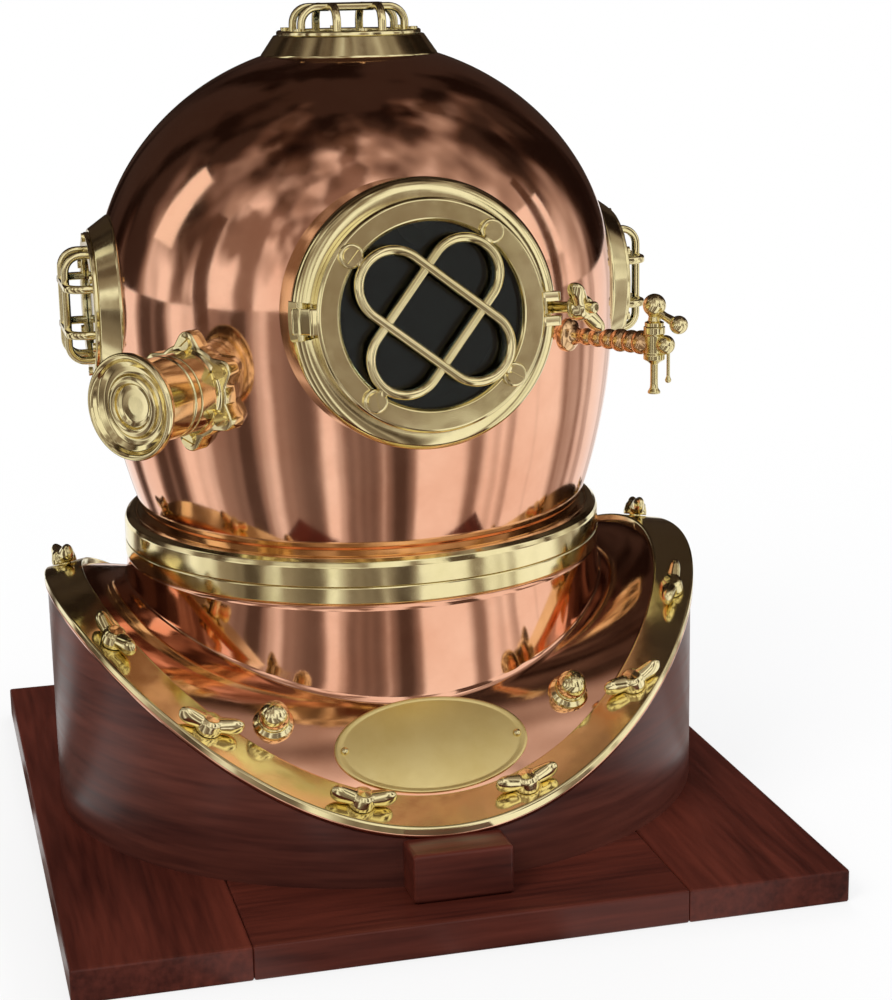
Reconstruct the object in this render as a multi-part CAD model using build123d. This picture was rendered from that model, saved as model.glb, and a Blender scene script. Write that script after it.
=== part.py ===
from build123d import *
import os
from math import asin, cos, degrees, radians, sin, sqrt

os.makedirs("parts", exist_ok=True)

# A copper and brass diving helmet on its wooden stand, in millimetres.
# Origin: middle of the stand's underside. +Z is up and the helmet looks towards -Y.

# Fits
running_gap = 0.05
turning_gap = 0.3
wall_gap = 0.4
cut_over = 3.0

# Stand
board_width = 400.0
board_depth = 430.0
board_thickness = 18.0
end_board_width = 88.0
drum_half_width = 184.0
drum_half_depth = 176.0
drum_setback = 6.0
drum_wall = 20.0
saddle_front_z = 43.0
saddle_shoulder_z = 142.0
block_width = 52.0
block_height = 26.0
block_reach = 22.0

# Breastplate
rim_overhang = 1.5
shell_thickness = 2.0
strap_width = 24.0
strap_thickness = 4.0
strap_end_angle = 0.15
strap_front_tilt = 24.0
strap_side_tilt = 4.0
neck_setback = 28.0
collar_radius = 136.0
crease_radius = 138.0
crease_front_z = 97.0
crease_side_z = 137.0
collar_top_z = 151.0
slope_bulge_share = 0.12
slope_drop_share = 1.35
crease_drop_share = 0.7
sector_angle = 22.5
whole_turn = (-180.0, 180.0)
front_half_turn = (-90.0, 90.0)
back_half_turn = (90.0, 270.0)

# Rings of the neck joint
corselet_ring_radius = 137.0
corselet_ring_height = 9.5
ring_spigot_depth = 4.0
lip_height = 5.7
gasket_thickness = 1.2
gasket_width = 7.0
bonnet_ring_radius = 135.6
bonnet_ring_bore = 119.0
bonnet_ring_height = 13.75
bonnet_ring_bevel = 1.5
spigot_radius = 127.0
spigot_depth = 12.25
lug_reach = 4.2
lug_height = 3.0
lug_drop = 7.25
lug_arc = 38.0
lip_arc = 40.0
thread_starts = 4

# Dome
dome_radius = 146.0
dome_rise = 136.5
dome_widest_z = 300.0
dome_waist_radius = 133.0
dome_waist_z = 197.6
dome_taper_power = 2.2
dome_thickness = 2.0
dome_seat_depth = 9.5

# Front port and its door
window_reach = 176.0
window_z = 308.5
window_lean = 5.5
window_bore = 46.0
seat_radius = 68.0
seat_face_radius = 60.0
seat_face_depth = 8.3
seat_round_depth = 7.0
door_radius = 58.0
door_back = 8.0
door_front = 2.0
door_bevel = 1.2
glass_radius = 48.3
glass_depth = 1.0
door_glass_thickness = 5.2
door_seal_inner = 53.2
door_seal_outer = 56.6
door_seal_thickness = 1.5
hinge_reach = 62.5
hinge_depth = 14.0
hinge_pin_radius = 2.5
hinge_pin_length = 32.0
hinge_knuckle_radius = 5.5
hinge_lug_width = 13.0
hinge_notch_width = 20.0
latch_reach = 62.0
latch_depth = 16.0
latch_pin_radius = 2.3
latch_pin_length = 28.0
latch_eye_radius = 5.5
latch_eye_width = 7.0
latch_notch_width = 8.0
latch_lug_reach = 66.0
latch_lug_width = 17.0
latch_slot_width = 7.2
latch_slot_start = 57.5
latch_rest_angle = 36.0
bolt_radius = 3.0
bolt_length = 33.0
latch_washer_radius = 6.5
latch_washer_thickness = 1.5
latch_washer_place = 19.3

# Guard over the front door
guard_rod_radius = 2.2
guard_loop_width = 35.0
guard_loop_length = 51.0
guard_height = 7.0
guard_turn = 7.0
guard_screw_circle = 50.6
guard_foot_radius = 6.0
guard_foot_height = 3.0
guard_screw_radius = 1.5
guard_screw_depth = 5.5
guard_screw_head_radius = 4.3
guard_screw_head_height = 2.2
guard_screw_slot = 1.0

# Side and top ports
port_z = 297.0
port_flange_radius = 49.0
port_flange_face = 3.0
port_face_radius = 41.5
port_skirt_depth = 7.5
port_bore = 30.0
port_glass_radius = 34.0
port_glass_thickness = 4.0
port_guard_ring_radius = 40.0
port_guard_ring_height = 2.6
port_guard_reach = 20.0
port_guard_span = 31.5
port_guard_bar = 4.2
port_guard_spacing = 12.5
port_guard_corner = 11.0
port_screw_circle = 37.2
port_screw_radius = 1.4
port_screw_head_radius = 2.5
port_screw_head_height = 1.3
port_screw_depth = 4.2
port_screw_slot = 0.6
port_screw_count = 6

# Wing nuts and studs
stud_radius = 3.5
stud_height = 9.6
nut_hub_radius = 6.5
nut_hub_top_radius = 5.2
nut_hub_height = 8.0
nut_seat_gap = 0.35
wing_thickness = 4.2
wing_tip_radius = 4.4
wing_tip_reach = 11.4
wing_tip_height = 9.4
wing_root_low = 1.6
wing_root_high = 7.6
stud_angles = (14.5, 41.0, 63.0, 99.0, 130.0, 161.0)
nut_turns = (8.0, 14.0, 62.0, 80.0, 20.0, 50.0)

# Name plate and ball studs
plate_half_width = 52.0
plate_half_height = 27.0
plate_thickness = 1.2
plate_rivet_place = 46.5
plate_rivet_radius = 2.2
plate_rivet_share = 0.87
plate_rivet_height_share = 0.33
ball_stud_angle = 31.0
ball_stud_share = 0.38
ball_radius = 8.0
ball_flange_radius = 11.0
ball_flange_height = 2.5
ball_centre_height = 8.5

# Exhaust valve
exhaust_angle = -48.0
exhaust_z = 264.0
exhaust_flange_radius = 25.0
exhaust_lobe_radius = 6.4
exhaust_lobe_circle = 25.4
exhaust_lobes = 6
exhaust_flange_depth = 8.0
exhaust_flange_face = 6.0
exhaust_barrel_radius = 21.5
exhaust_barrel_top = 20.0
exhaust_neck_radius = 18.5
exhaust_neck_top = 40.0
exhaust_bore = 16.4
exhaust_port_radius = 11.0
exhaust_seat_bottom = 4.0
exhaust_seat_top = 7.0
exhaust_bridge_width = 8.0
exhaust_bridge_depth = 3.0
exhaust_screw_radius = 1.8
exhaust_screw_head_radius = 3.6
exhaust_screw_head_height = 2.2
exhaust_screw_depth = 8.0
exhaust_screw_slot = 0.9
knob_skirt_top = 44.0
knob_inside_top = 42.6
knob_rim_radius = 27.3
knob_rim_z = 50.0
knob_rim_top = 52.5
knob_rim_width = 2.3
knob_dish_z = 47.0
knob_ring_outer = 16.0
knob_ring_inner = 11.0
knob_ring_z = 50.0
knob_centre_z = 46.4
stem_radius = 2.5
stem_inner_length = 17.0
stem_outer_length = 30.0
valve_disc_radius = 14.0
valve_disc_thickness = 2.5
chin_button_radius = 9.0
chin_button_thickness = 3.0

# Spitcock
spitcock_angle = 38.0
spitcock_z = 284.0
spitcock_axis_place = 53.5
spitcock_stem_radius = 3.4
spitcock_flange_radius = 8.0
spitcock_flange_height = 3.0
spitcock_bead_radii = (4.6, 4.9, 5.4, 6.1, 6.0, 6.3)
spitcock_bead_places = (12.0, 19.0, 26.0, 33.0, 39.5, 45.5)
spitcock_bead_width = 2.6
cock_radius = 5.6
cock_low = 8.0
cock_high = 9.0
cock_end_ball = 5.0
cock_end_place = 6.6
cock_bore = 3.0
spout_radius = 2.0
spout_bore = 1.0
spout_drop = 26.0
spout_lip_radius = 3.1
spout_lip_height = 2.2
drip_pin_place = 8.5
drip_pin_radius = 0.9
drip_pin_drop = 18.0
drip_ball_radius = 1.7
plug_collar_radius = 5.0
plug_collar_height = 2.0
plug_neck_radius = 3.2
plug_ball_radius = 6.0
plug_ball_height = 20.0
plug_arm_radius = 2.3
plug_arm_reach = 14.6
plug_arm_start = 17.5
plug_arm_height = 11.0
plug_arm_ball = 4.8

# Elbows at the back
elbow_angle = 150.0
elbow_z = 322.0
elbow_flange_radius = 17.0
elbow_flange_height = 4.0
elbow_tube_radius = 9.0
elbow_bore = 6.0
elbow_out = 10.0
elbow_bend = 15.0
elbow_down = 8.0
elbow_union_radius = 11.0
elbow_union_height = 4.0
cap_radius = 12.5
cap_height = 13.0
cap_top = 3.0
cap_grips = 12
cap_grip_radius = 1.3

saddle_rise = (saddle_shoulder_z - saddle_front_z) / drum_half_width**2
rim_half_width = drum_half_width + rim_overhang
rim_half_depth = drum_half_depth + rim_overhang
corselet_ring_top = collar_top_z + corselet_ring_height
bonnet_ring_bottom = corselet_ring_top + gasket_thickness + running_gap
bonnet_ring_top = bonnet_ring_bottom + bonnet_ring_height
dome_bottom_z = bonnet_ring_top - dome_seat_depth
dome_top_z = dome_widest_z + dome_rise


def save(node, shape):
    """Write one node's solids to its STEP file."""
    solids = [solid.clean() for solid in shape.solids()]
    export_step(solids[0] if len(solids) == 1 else Compound(children=solids), f"parts/{node}.step")


def turned(points):
    """Solid of revolution about Z from (radius, height) points."""
    outline = make_face(Polyline(*[(r, 0, z) for r, z in points], close=True))
    return revolve(outline, Axis.Z)


def tube(outer, inner, low, high):
    """Plain ring between two heights."""
    return turned([(inner, low), (outer, low), (outer, high), (inner, high)])


def rod(start, end, radius):
    """Round rod between two points."""
    line = Edge.make_line(start, end)
    return Solid.extrude(Face(Wire.make_circle(radius, Plane(start, z_dir=line % 0))), end - start)


# Places on the breastplate. Angle 0 is the front, 90 the image-right shoulder.
def saddle_z(x):
    return saddle_front_z + saddle_rise * x**2


def rim_point(angle):
    a = radians(angle)
    x = rim_half_width * sin(a)
    return Vector(x, drum_setback - rim_half_depth * cos(a), saddle_z(x) + shell_thickness + turning_gap)


def crease_point(angle):
    a = radians(angle)
    z = crease_front_z + (crease_side_z - crease_front_z) * sin(a) ** 2
    return Vector(crease_radius * sin(a), neck_setback - crease_radius * cos(a), z)


def collar_point(angle):
    a = radians(angle)
    return Vector(collar_radius * sin(a), neck_setback - collar_radius * cos(a), collar_top_z)


def strap_point(angle):
    """Inner edge of the clamping strap, one strap width in from the rim."""
    a = radians(angle)
    outer = rim_point(angle)
    inward = crease_point(angle) - outer
    inward = Vector(inward.X, inward.Y, 0).normalized()
    tilt = radians(strap_front_tilt * cos(a) ** 2 + strap_side_tilt * sin(a) ** 2)
    return outer + inward * (strap_width * cos(tilt)) + Vector(0, 0, strap_width * sin(tilt))


def bulge_point(angle):
    """Middle control point of the slope's section."""
    low = strap_point(angle)
    high = crease_point(angle)
    return (low + high) * 0.5 + Vector(0, 0, (high - low).length * slope_bulge_share)


def slope_point(angle, share):
    """Point on the bulging slope: share 0 at the strap, 1 at the crease."""
    low = strap_point(angle) * (1 - share) ** 2
    return low + bulge_point(angle) * (2 * share * (1 - share)) + crease_point(angle) * share**2


def stud_point(angle):
    return (strap_point(angle) + rim_point(angle)) * 0.5 + Vector(0, 0, strap_thickness)


def surface_normal(place, angle, share=None):
    """Outward normal where the rim strap or the slope passes a place."""
    step = 0.5
    if share is None:
        across = strap_point(angle) - rim_point(angle)
        along = place(angle + step) - place(angle - step)
    else:
        across = slope_point(angle, share + 0.05) - slope_point(angle, share - 0.05)
        along = slope_point(angle + step, share) - slope_point(angle - step, share)
    normal = along.cross(across).normalized()
    return normal if normal.Z > 0 else normal * -1


def poles(place, turn, lift=0.0, inset=0.0):
    """Cubic arcs, one per sector, through a place moved up and towards the neck axis."""

    def spot(angle):
        a = radians(angle)
        return place(angle) + Vector(-inset * sin(a), inset * cos(a), lift)

    start, end = turn
    count = round((end - start) / sector_angle)
    width = (end - start) / count
    step = width / 1000
    arcs = []
    for k in range(count):
        low = start + k * width
        high = low + width
        leave = (spot(low + step) - spot(low - step)) * (width / step / 6)
        arrive = (spot(high + step) - spot(high - step)) * (width / step / 6)
        arcs.append([spot(low), spot(low) + leave, spot(high) - arrive, spot(high)])
    return arcs


def patches(*curves):
    """One smooth patch per sector across two or three rows of arcs."""
    return [Face.make_bezier_surface(list(rows)) for rows in zip(*curves)]


def end_caps(*sections):
    """Faces that close both ends of an open band, from its lower and upper rows of arcs."""
    lower, upper = sections
    first = [[row[0][0] for row in lower], [row[0][0] for row in upper]]
    last = [[row[-1][-1] for row in lower], [row[-1][-1] for row in upper]]
    return [Face.make_bezier_surface(first), Face.make_bezier_surface(last)]


def solid_of(faces):
    return Solid(Shell(faces))


def slope_rows(turn, lift=0.0):
    """Arcs of the slope's strap edge, bulge and crease."""
    return [poles(place, turn, lift) for place in (strap_point, bulge_point, crease_point)]


def stud_locations():
    """Place and axis of every rim stud, right side first, then left."""
    angles = list(stud_angles) + [-angle for angle in stud_angles]
    return [Plane(stud_point(angle), z_dir=surface_normal(stud_point, angle)) for angle in angles]


# Places on the dome
def dome_outline_radius(z):
    """Outer radius of the dome at a height."""
    if z >= dome_widest_z:
        return dome_radius * sqrt(max(0, 1 - ((z - dome_widest_z) / dome_rise) ** 2))
    fall = (dome_widest_z - z) / (dome_widest_z - dome_waist_z)
    return dome_radius - (dome_radius - dome_waist_radius) * fall**dome_taper_power


def dome_plane(angle, z):
    """Plane that touches the dome at an angle and height, looking straight out, its Y up."""
    a = radians(angle)
    outward = Vector(sin(a), -cos(a), 0)
    origin = Vector(0, neck_setback, z) + outward * dome_outline_radius(z)
    return Plane(origin, x_dir=(cos(a), sin(a), 0), z_dir=outward)


def dome_solid(inset=0.0):
    """Dome filled down to its seat in the neck ring, smaller all round by the inset."""
    low = dome_bottom_z - (cut_over if inset else 0)
    heights = [low + (dome_widest_z - low) * k / 8 for k in range(9)]
    side = Spline(*[(dome_outline_radius(z) - inset, z) for z in heights])
    steps = [k * 90 / 12 for k in range(13)]
    crown_points = [((dome_radius - inset) * cos(radians(t)), dome_widest_z + (dome_rise - inset) * sin(radians(t)))
                    for t in steps]
    crown_points[-1] = (0, dome_top_z - inset)
    crown = Spline(*crown_points, tangents=[(0, 1), (-1, 0)])
    foot = Line((0, low), (dome_outline_radius(low) - inset, low))
    axis_line = Line((0, dome_top_z - inset), (0, low))
    outline = Plane.XZ * make_face([foot, side, crown, axis_line])
    return Pos(0, neck_setback, 0) * revolve(outline, Axis.Z)


window_normal = Vector(0, -cos(radians(window_lean)), sin(radians(window_lean)))
window_plane = Plane((0, neck_setback - window_reach, window_z), x_dir=(1, 0, 0), z_dir=window_normal)
left_port_plane = dome_plane(-90, port_z)
right_port_plane = dome_plane(90, port_z)
top_port_plane = Plane((0, neck_setback, dome_top_z), x_dir=(1, 0, 0), z_dir=(0, 0, 1))
exhaust_plane = dome_plane(exhaust_angle, exhaust_z)
spitcock_plane = dome_plane(spitcock_angle, spitcock_z)
elbow_planes = [dome_plane(elbow_angle, elbow_z), dome_plane(-elbow_angle, elbow_z)]


# Stand
def make_stand():
    """Centre board with two end boards, a hollow saddle-cut drum and a small front block."""
    centre_width = board_width - 2 * end_board_width
    lift = Pos(0, 0, board_thickness / 2)
    save("centre_board", lift * Box(centre_width, board_depth, board_thickness))
    end_board = Box(end_board_width, board_depth, board_thickness)
    end_place = (centre_width + end_board_width) / 2
    save("end_boards", lift * (Pos(end_place) * end_board + Pos(-end_place) * end_board))

    drum_height = saddle_shoulder_z - board_thickness
    outline = Ellipse(drum_half_width, drum_half_depth)
    hollow = Ellipse(drum_half_width - drum_wall, drum_half_depth - drum_wall)
    base = Pos(0, drum_setback, board_thickness)
    drum_blank = base * extrude(outline, drum_height)
    saddle = Edge.make_bezier(
        (-drum_half_width, 0, saddle_shoulder_z),
        (0, 0, 2 * saddle_front_z - saddle_shoulder_z),
        (drum_half_width, 0, saddle_shoulder_z),
    )
    lid = Edge.make_line((drum_half_width, 0, saddle_shoulder_z), (-drum_half_width, 0, saddle_shoulder_z))
    above = extrude(Face(Wire([saddle, lid])), board_depth, both=True)
    save("drum", base * extrude(outline - hollow, drum_height) - above)

    front_y = drum_setback - drum_half_depth - block_reach
    block_depth = block_reach + drum_wall
    block = Pos(0, front_y + block_depth / 2, board_thickness + block_height / 2) * Box(
        block_width, block_depth, block_height
    )
    save("front_block", block - drum_blank - above)


# Breastplate
def make_breastplate():
    """Copper shell, clamping straps, studs, name plate and ball studs."""
    studs = []
    holes = []
    for place in stud_locations():
        root = -strap_thickness - shell_thickness
        studs.append(place.location * Pos(0, 0, root) * Cylinder(stud_radius, stud_height - root, align=seated))
        hole = Cylinder(stud_radius + running_gap, stud_height - 2 * root, align=seated)
        holes.append(place.location * Pos(0, 0, 2 * root) * hole)

    turn = whole_turn
    low, middle, high = slope_rows(turn)
    rim = poles(rim_point, turn)
    collar = poles(collar_point, turn)
    rim_under = poles(rim_point, turn, -shell_thickness)
    under = slope_rows(turn, -shell_thickness * slope_drop_share)
    crease_under = poles(crease_point, turn, -shell_thickness * crease_drop_share, shell_thickness)
    collar_inside = poles(collar_point, turn, 0, shell_thickness)
    faces = patches(rim, low) + patches(low, middle, high) + patches(high, collar)
    faces += patches(collar, collar_inside) + patches(collar_inside, crease_under)
    faces += patches(crease_under, under[1], under[0]) + patches(under[0], rim_under) + patches(rim_under, rim)
    save("corselet_shell", solid_of(faces) - holes)
    save("rim_studs", Compound(children=studs))
    for name, (start, end) in (("front_strap", front_half_turn), ("back_strap", back_half_turn)):
        turn = (start + strap_end_angle, end - strap_end_angle)
        bottom = [poles(rim_point, turn), poles(strap_point, turn)]
        top = [poles(rim_point, turn, strap_thickness), poles(strap_point, turn, strap_thickness)]
        faces = patches(*bottom) + patches(*top) + patches(bottom[0], top[0]) + patches(bottom[1], top[1])
        save(name, solid_of(faces + end_caps(bottom, top)) - holes)
    make_name_plate()
    make_ball_studs()


def slope_layer(low, high):
    """Layer of the front slope between two heights above it."""
    turn = (2 * -sector_angle, 2 * sector_angle)
    bottom = slope_rows(turn, low)
    top = slope_rows(turn, high)
    faces = patches(*bottom) + patches(*top) + patches(bottom[0], top[0]) + patches(bottom[2], top[2])
    return solid_of(faces + end_caps(bottom, top))


def make_name_plate():
    """Bare oval plate bent to the slope, and its two rivets."""
    normal = surface_normal(slope_point, 0, 0.5)
    place = Plane(slope_point(0, 0.5), x_dir=(1, 0, 0), z_dir=normal)
    oval = Ellipse(plate_half_width, plate_half_height)
    depth = plate_half_height
    lean = normal.Z
    face = plate_thickness / lean
    plate = slope_layer(0, face) & (place.location * extrude(oval, depth, both=True))
    rivets = []
    plate_layer = slope_layer(-face, face)
    for side in (-1, 1):
        angle = side * degrees(asin(plate_rivet_place / crease_radius)) * plate_rivet_share
        centre = slope_point(angle, plate_rivet_height_share) + Vector(0, 0, face)
        rivets.append(Pos(centre) * Sphere(plate_rivet_radius) - plate_layer)
    save("name_plate", plate)
    save("plate_rivets", Compound(children=[r.solids().sort_by(SortBy.VOLUME)[-1] for r in rivets]))


def make_ball_studs():
    """Ball studs on small flanges, left and right of the plate."""
    studs = []
    under = slope_layer(-2 * ball_flange_height, 0)
    for side in (-1, 1):
        angle = side * ball_stud_angle
        normal = surface_normal(slope_point, angle, ball_stud_share)
        place = Plane(slope_point(angle, ball_stud_share), z_dir=normal)
        flange = Pos(0, 0, -ball_flange_height) * Cylinder(ball_flange_radius, 2 * ball_flange_height, align=seated)
        ball = Pos(0, 0, ball_centre_height) * Sphere(ball_radius)
        blank = place.location * (flange + ball) - under
        studs.append(blank.solids().sort_by(SortBy.VOLUME)[-1])
    save("ball_studs", Compound(children=studs))


def wing_nut(bore, hub_radius=nut_hub_radius):
    """Wing nut with its base at the origin, its axis on Z and its wings along X."""
    hub = turned([(0, 0), (hub_radius, 0), (nut_hub_top_radius, nut_hub_height), (0, nut_hub_height)])
    wings = []
    for side in (-1, 1):
        root = Polyline(
            (0, wing_root_low),
            (side * wing_tip_reach, wing_tip_height - wing_tip_radius),
            (side * wing_tip_reach, wing_tip_height + wing_tip_radius),
            (0, wing_root_high),
            close=True,
        )
        tip = Pos(side * wing_tip_reach, wing_tip_height) * Circle(wing_tip_radius)
        wings.append(extrude(Plane.XZ * (make_face(root) + tip), wing_thickness / 2, both=True))
    drill = Pos(0, 0, -cut_over) * Cylinder(bore, nut_hub_height + 2 * cut_over, align=seated)
    return hub + wings[0] + wings[1] - drill


def make_rim_nuts():
    """Twelve wing nuts on the rim studs, each turned as it was left."""
    turns = list(nut_turns) + [-turn for turn in nut_turns]
    nut = wing_nut(stud_radius + running_gap)
    for number, (place, turn) in enumerate(zip(stud_locations(), turns), 1):
        side = "right" if number <= len(stud_angles) else "left"
        count = number if number <= len(stud_angles) else number - len(stud_angles)
        save(f"wing_nut_{side}_{count}", place.location * Pos(0, 0, nut_seat_gap) * Rot(0, 0, turn) * nut)


# Neck joint
def arc_blocks(outer, inner, low, high, arc):
    """Equal blocks round the neck, one for each start of the interrupted thread."""
    profile = Plane.XZ * (Pos((outer + inner) / 2, (low + high) / 2) * Rectangle(outer - inner, high - low))
    pitch = 360 / thread_starts
    blocks = [Rot(0, 0, k * pitch - arc / 2) * revolve(profile, Axis.Z, arc) for k in range(thread_starts)]
    return blocks


def make_neck_rings(dome_blank):
    """Corselet ring, leather gasket and bonnet ring with their interrupted thread."""
    groove_radius = spigot_radius + lug_reach + turning_gap
    collar_inside = collar_radius - shell_thickness - running_gap
    ring = turned([
        (groove_radius, collar_top_z - ring_spigot_depth),
        (collar_inside, collar_top_z - ring_spigot_depth),
        (collar_inside, collar_top_z),
        (corselet_ring_radius, collar_top_z),
        (corselet_ring_radius, corselet_ring_top),
        (groove_radius, corselet_ring_top),
    ])
    lip_low = corselet_ring_top - lip_height
    lip_bore = spigot_radius + wall_gap
    for block in arc_blocks(groove_radius + running_gap, lip_bore, lip_low, corselet_ring_top, lip_arc):
        ring = ring + block
    neck = Pos(0, neck_setback, 0)
    save("corselet_ring", neck * ring)

    gasket_outer = corselet_ring_radius - gasket_thickness
    gasket_inner = gasket_outer - gasket_width
    save("neck_gasket", neck * tube(gasket_outer, gasket_inner, corselet_ring_top, corselet_ring_top + gasket_thickness))

    spigot_bottom = bonnet_ring_bottom - spigot_depth
    bonnet_ring = turned([
        (bonnet_ring_bore, spigot_bottom),
        (spigot_radius, spigot_bottom),
        (spigot_radius, bonnet_ring_bottom),
        (bonnet_ring_radius, bonnet_ring_bottom),
        (bonnet_ring_radius, bonnet_ring_top - bonnet_ring_bevel),
        (bonnet_ring_radius - bonnet_ring_bevel, bonnet_ring_top),
        (bonnet_ring_bore, bonnet_ring_top),
    ])
    lug_high = bonnet_ring_bottom - lug_drop
    lug_outer = spigot_radius + lug_reach
    for block in arc_blocks(lug_outer, spigot_radius - cut_over, lug_high - lug_height, lug_high, lug_arc):
        bonnet_ring = bonnet_ring + block
    save("bonnet_ring", neck * bonnet_ring - dome_blank)


# Bonnet
def make_bonnet_shell(dome_blank):
    """Copper dome with its holes for the ports and fittings."""
    shell = dome_blank - dome_solid(dome_thickness)
    depth = dome_radius
    through = Cylinder(port_bore + running_gap, depth, align=centred)
    shell = shell - window_plane.location * Cylinder(window_bore, depth, align=centred)
    for plane in (left_port_plane, right_port_plane, top_port_plane):
        shell = shell - plane.location * through
    shell = shell - exhaust_plane.location * Cylinder(exhaust_bore, depth / 2, align=centred)
    shell = shell - spitcock_plane.location * Cylinder(spout_bore, depth / 4, align=centred)
    for plane in elbow_planes:
        shell = shell - plane.location * Cylinder(elbow_bore, depth / 4, align=centred)
    save("bonnet_shell", shell)


def make_front_port_seat(dome_blank):
    """Broad rounded ring brazed to the dome, notched for the hinge and the latch."""
    back = window_reach - sqrt(dome_radius**2 - seat_radius**2) + 4 * cut_over
    face = -seat_face_depth
    outline = make_face([
        Plane.XZ * Line((window_bore, -back), (seat_radius, -back)),
        Plane.XZ * Line((seat_radius, -back), (seat_radius, face - seat_round_depth)),
        Plane.XZ * Spline(
            (seat_radius, face - seat_round_depth), (seat_face_radius, face), tangents=[(0, 1), (-1, 0)]
        ),
        Plane.XZ * Line((seat_face_radius, face), (window_bore, face)),
        Plane.XZ * Line((window_bore, face), (window_bore, -back)),
    ])
    seat = revolve(outline, Axis.Z)
    notch_reach = seat_radius + cut_over
    hinge_floor = hinge_depth + hinge_knuckle_radius + wall_gap
    hinge_inner = hinge_reach - hinge_knuckle_radius - wall_gap
    hinge_notch = Pos(-(notch_reach + hinge_inner) / 2, 0, -hinge_floor / 2) * Box(
        notch_reach - hinge_inner, hinge_notch_width, hinge_floor
    )
    latch_floor = latch_depth + latch_eye_radius + wall_gap
    latch_inner = latch_reach - latch_eye_radius - wall_gap
    latch_notch = Pos((notch_reach + latch_inner) / 2, 0, -latch_floor / 2) * Box(
        notch_reach - latch_inner, latch_notch_width, latch_floor
    )
    hinge_hole = Pos(-hinge_reach, 0, -hinge_depth) * Rot(90, 0, 0) * Cylinder(
        hinge_pin_radius + running_gap, hinge_pin_length
    )
    latch_hole = Pos(latch_reach, 0, -latch_depth) * Rot(90, 0, 0) * Cylinder(
        latch_pin_radius + running_gap, latch_pin_length
    )
    seat = seat - hinge_notch - latch_notch - hinge_hole - latch_hole
    seat = window_plane.location * seat - dome_blank
    save("front_port_seat", seat.solids().sort_by(SortBy.VOLUME)[-1])
    hinge_pin = Pos(-hinge_reach, 0, -hinge_depth) * Rot(90, 0, 0) * Cylinder(hinge_pin_radius, hinge_pin_length)
    latch_pin = Pos(latch_reach, 0, -latch_depth) * Rot(90, 0, 0) * Cylinder(latch_pin_radius, latch_pin_length)
    save("hinge_pin", window_plane.location * hinge_pin)
    save("latch_pivot_pin", window_plane.location * latch_pin)


def port_guard():
    """Cage of four bent bars, two each way, standing on a flat ring."""
    low = port_flange_face
    ring = tube(port_guard_ring_radius, port_bore, low, low + port_guard_ring_height)
    half = sqrt(port_guard_span**2 - port_guard_spacing**2) + port_guard_bar / 2
    top = port_guard_reach
    outer = Pos(0, (low + top) / 2) * Rectangle(2 * half, top - low)
    outer = fillet(outer.vertices().group_by(Axis.Y)[-1], port_guard_corner)
    inner_high = top - port_guard_bar
    inner_half = half - port_guard_bar
    inner = Pos(0, (low - cut_over + inner_high) / 2) * Rectangle(2 * inner_half, inner_high - low + cut_over)
    inner = fillet(inner.vertices().group_by(Axis.Y)[-1], port_guard_corner - port_guard_bar)
    bar = extrude(Plane.XZ * (outer - inner), port_guard_bar / 2, both=True)
    cage = ring
    for side in (-1, 1):
        cage = cage + Pos(0, side * port_guard_spacing) * bar
        cage = cage + Pos(side * port_guard_spacing) * Rot(0, 0, 90) * bar
    return cage


def ring_places(radius, count, turn=0.0):
    """Points evenly spaced on a circle."""
    angles = [turn + 360 * k / count for k in range(count)]
    return [(radius * cos(radians(a)), radius * sin(radians(a))) for a in angles]


def slotted_screw(shank_radius, shank_depth, head_radius, head_height, slot):
    """Cheese-head screw, the underside of its head at the origin."""
    shank = Pos(0, 0, -shank_depth) * Cylinder(shank_radius, shank_depth, align=seated)
    head = Cylinder(head_radius, head_height, align=seated)
    groove = Pos(0, 0, head_height) * Box(2 * head_radius, slot, head_height)
    return shank + head - groove


def make_ports(dome_blank):
    """Left, right and top ports: flange, glass, guard and its screws."""
    rebate = port_flange_face - port_glass_thickness
    depth = port_flange_radius - port_bore
    flange = turned([
        (port_bore, -depth),
        (port_flange_radius, -depth),
        (port_flange_radius, -port_skirt_depth),
        (port_face_radius, port_flange_face),
        (port_glass_radius + running_gap, port_flange_face),
        (port_glass_radius + running_gap, rebate),
        (port_bore, rebate),
    ])
    glass = Pos(0, 0, rebate) * Cylinder(port_glass_radius, port_glass_thickness, align=seated)
    guard = port_guard()
    guard_top = port_flange_face + port_guard_ring_height
    screw = slotted_screw(
        port_screw_radius, port_screw_depth, port_screw_head_radius, port_screw_head_height, port_screw_slot
    )
    shank_depth = port_screw_depth + cut_over
    hole = Cylinder(port_screw_radius + running_gap, shank_depth, align=seated)
    screws = []
    for x, y in ring_places(port_screw_circle, port_screw_count, 180 / port_screw_count):
        drill = Pos(x, y, guard_top - port_screw_depth) * hole
        flange = flange - drill
        guard = guard - drill
        screws.append(Pos(x, y, guard_top) * Rot(0, 0, x * 360 / port_screw_circle) * screw)
    all_screws = []
    for name, plane in (("left", left_port_plane), ("right", right_port_plane), ("top", top_port_plane)):
        seated_flange = plane.location * flange - dome_blank
        save(f"{name}_port_flange", seated_flange.solids().sort_by(SortBy.VOLUME)[-1])
        save(f"{name}_port_glass", plane.location * glass)
        save(f"{name}_port_guard", plane.location * guard)
        all_screws += [plane.location * one for one in screws]
    save("port_screws", Compound(children=all_screws))


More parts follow.
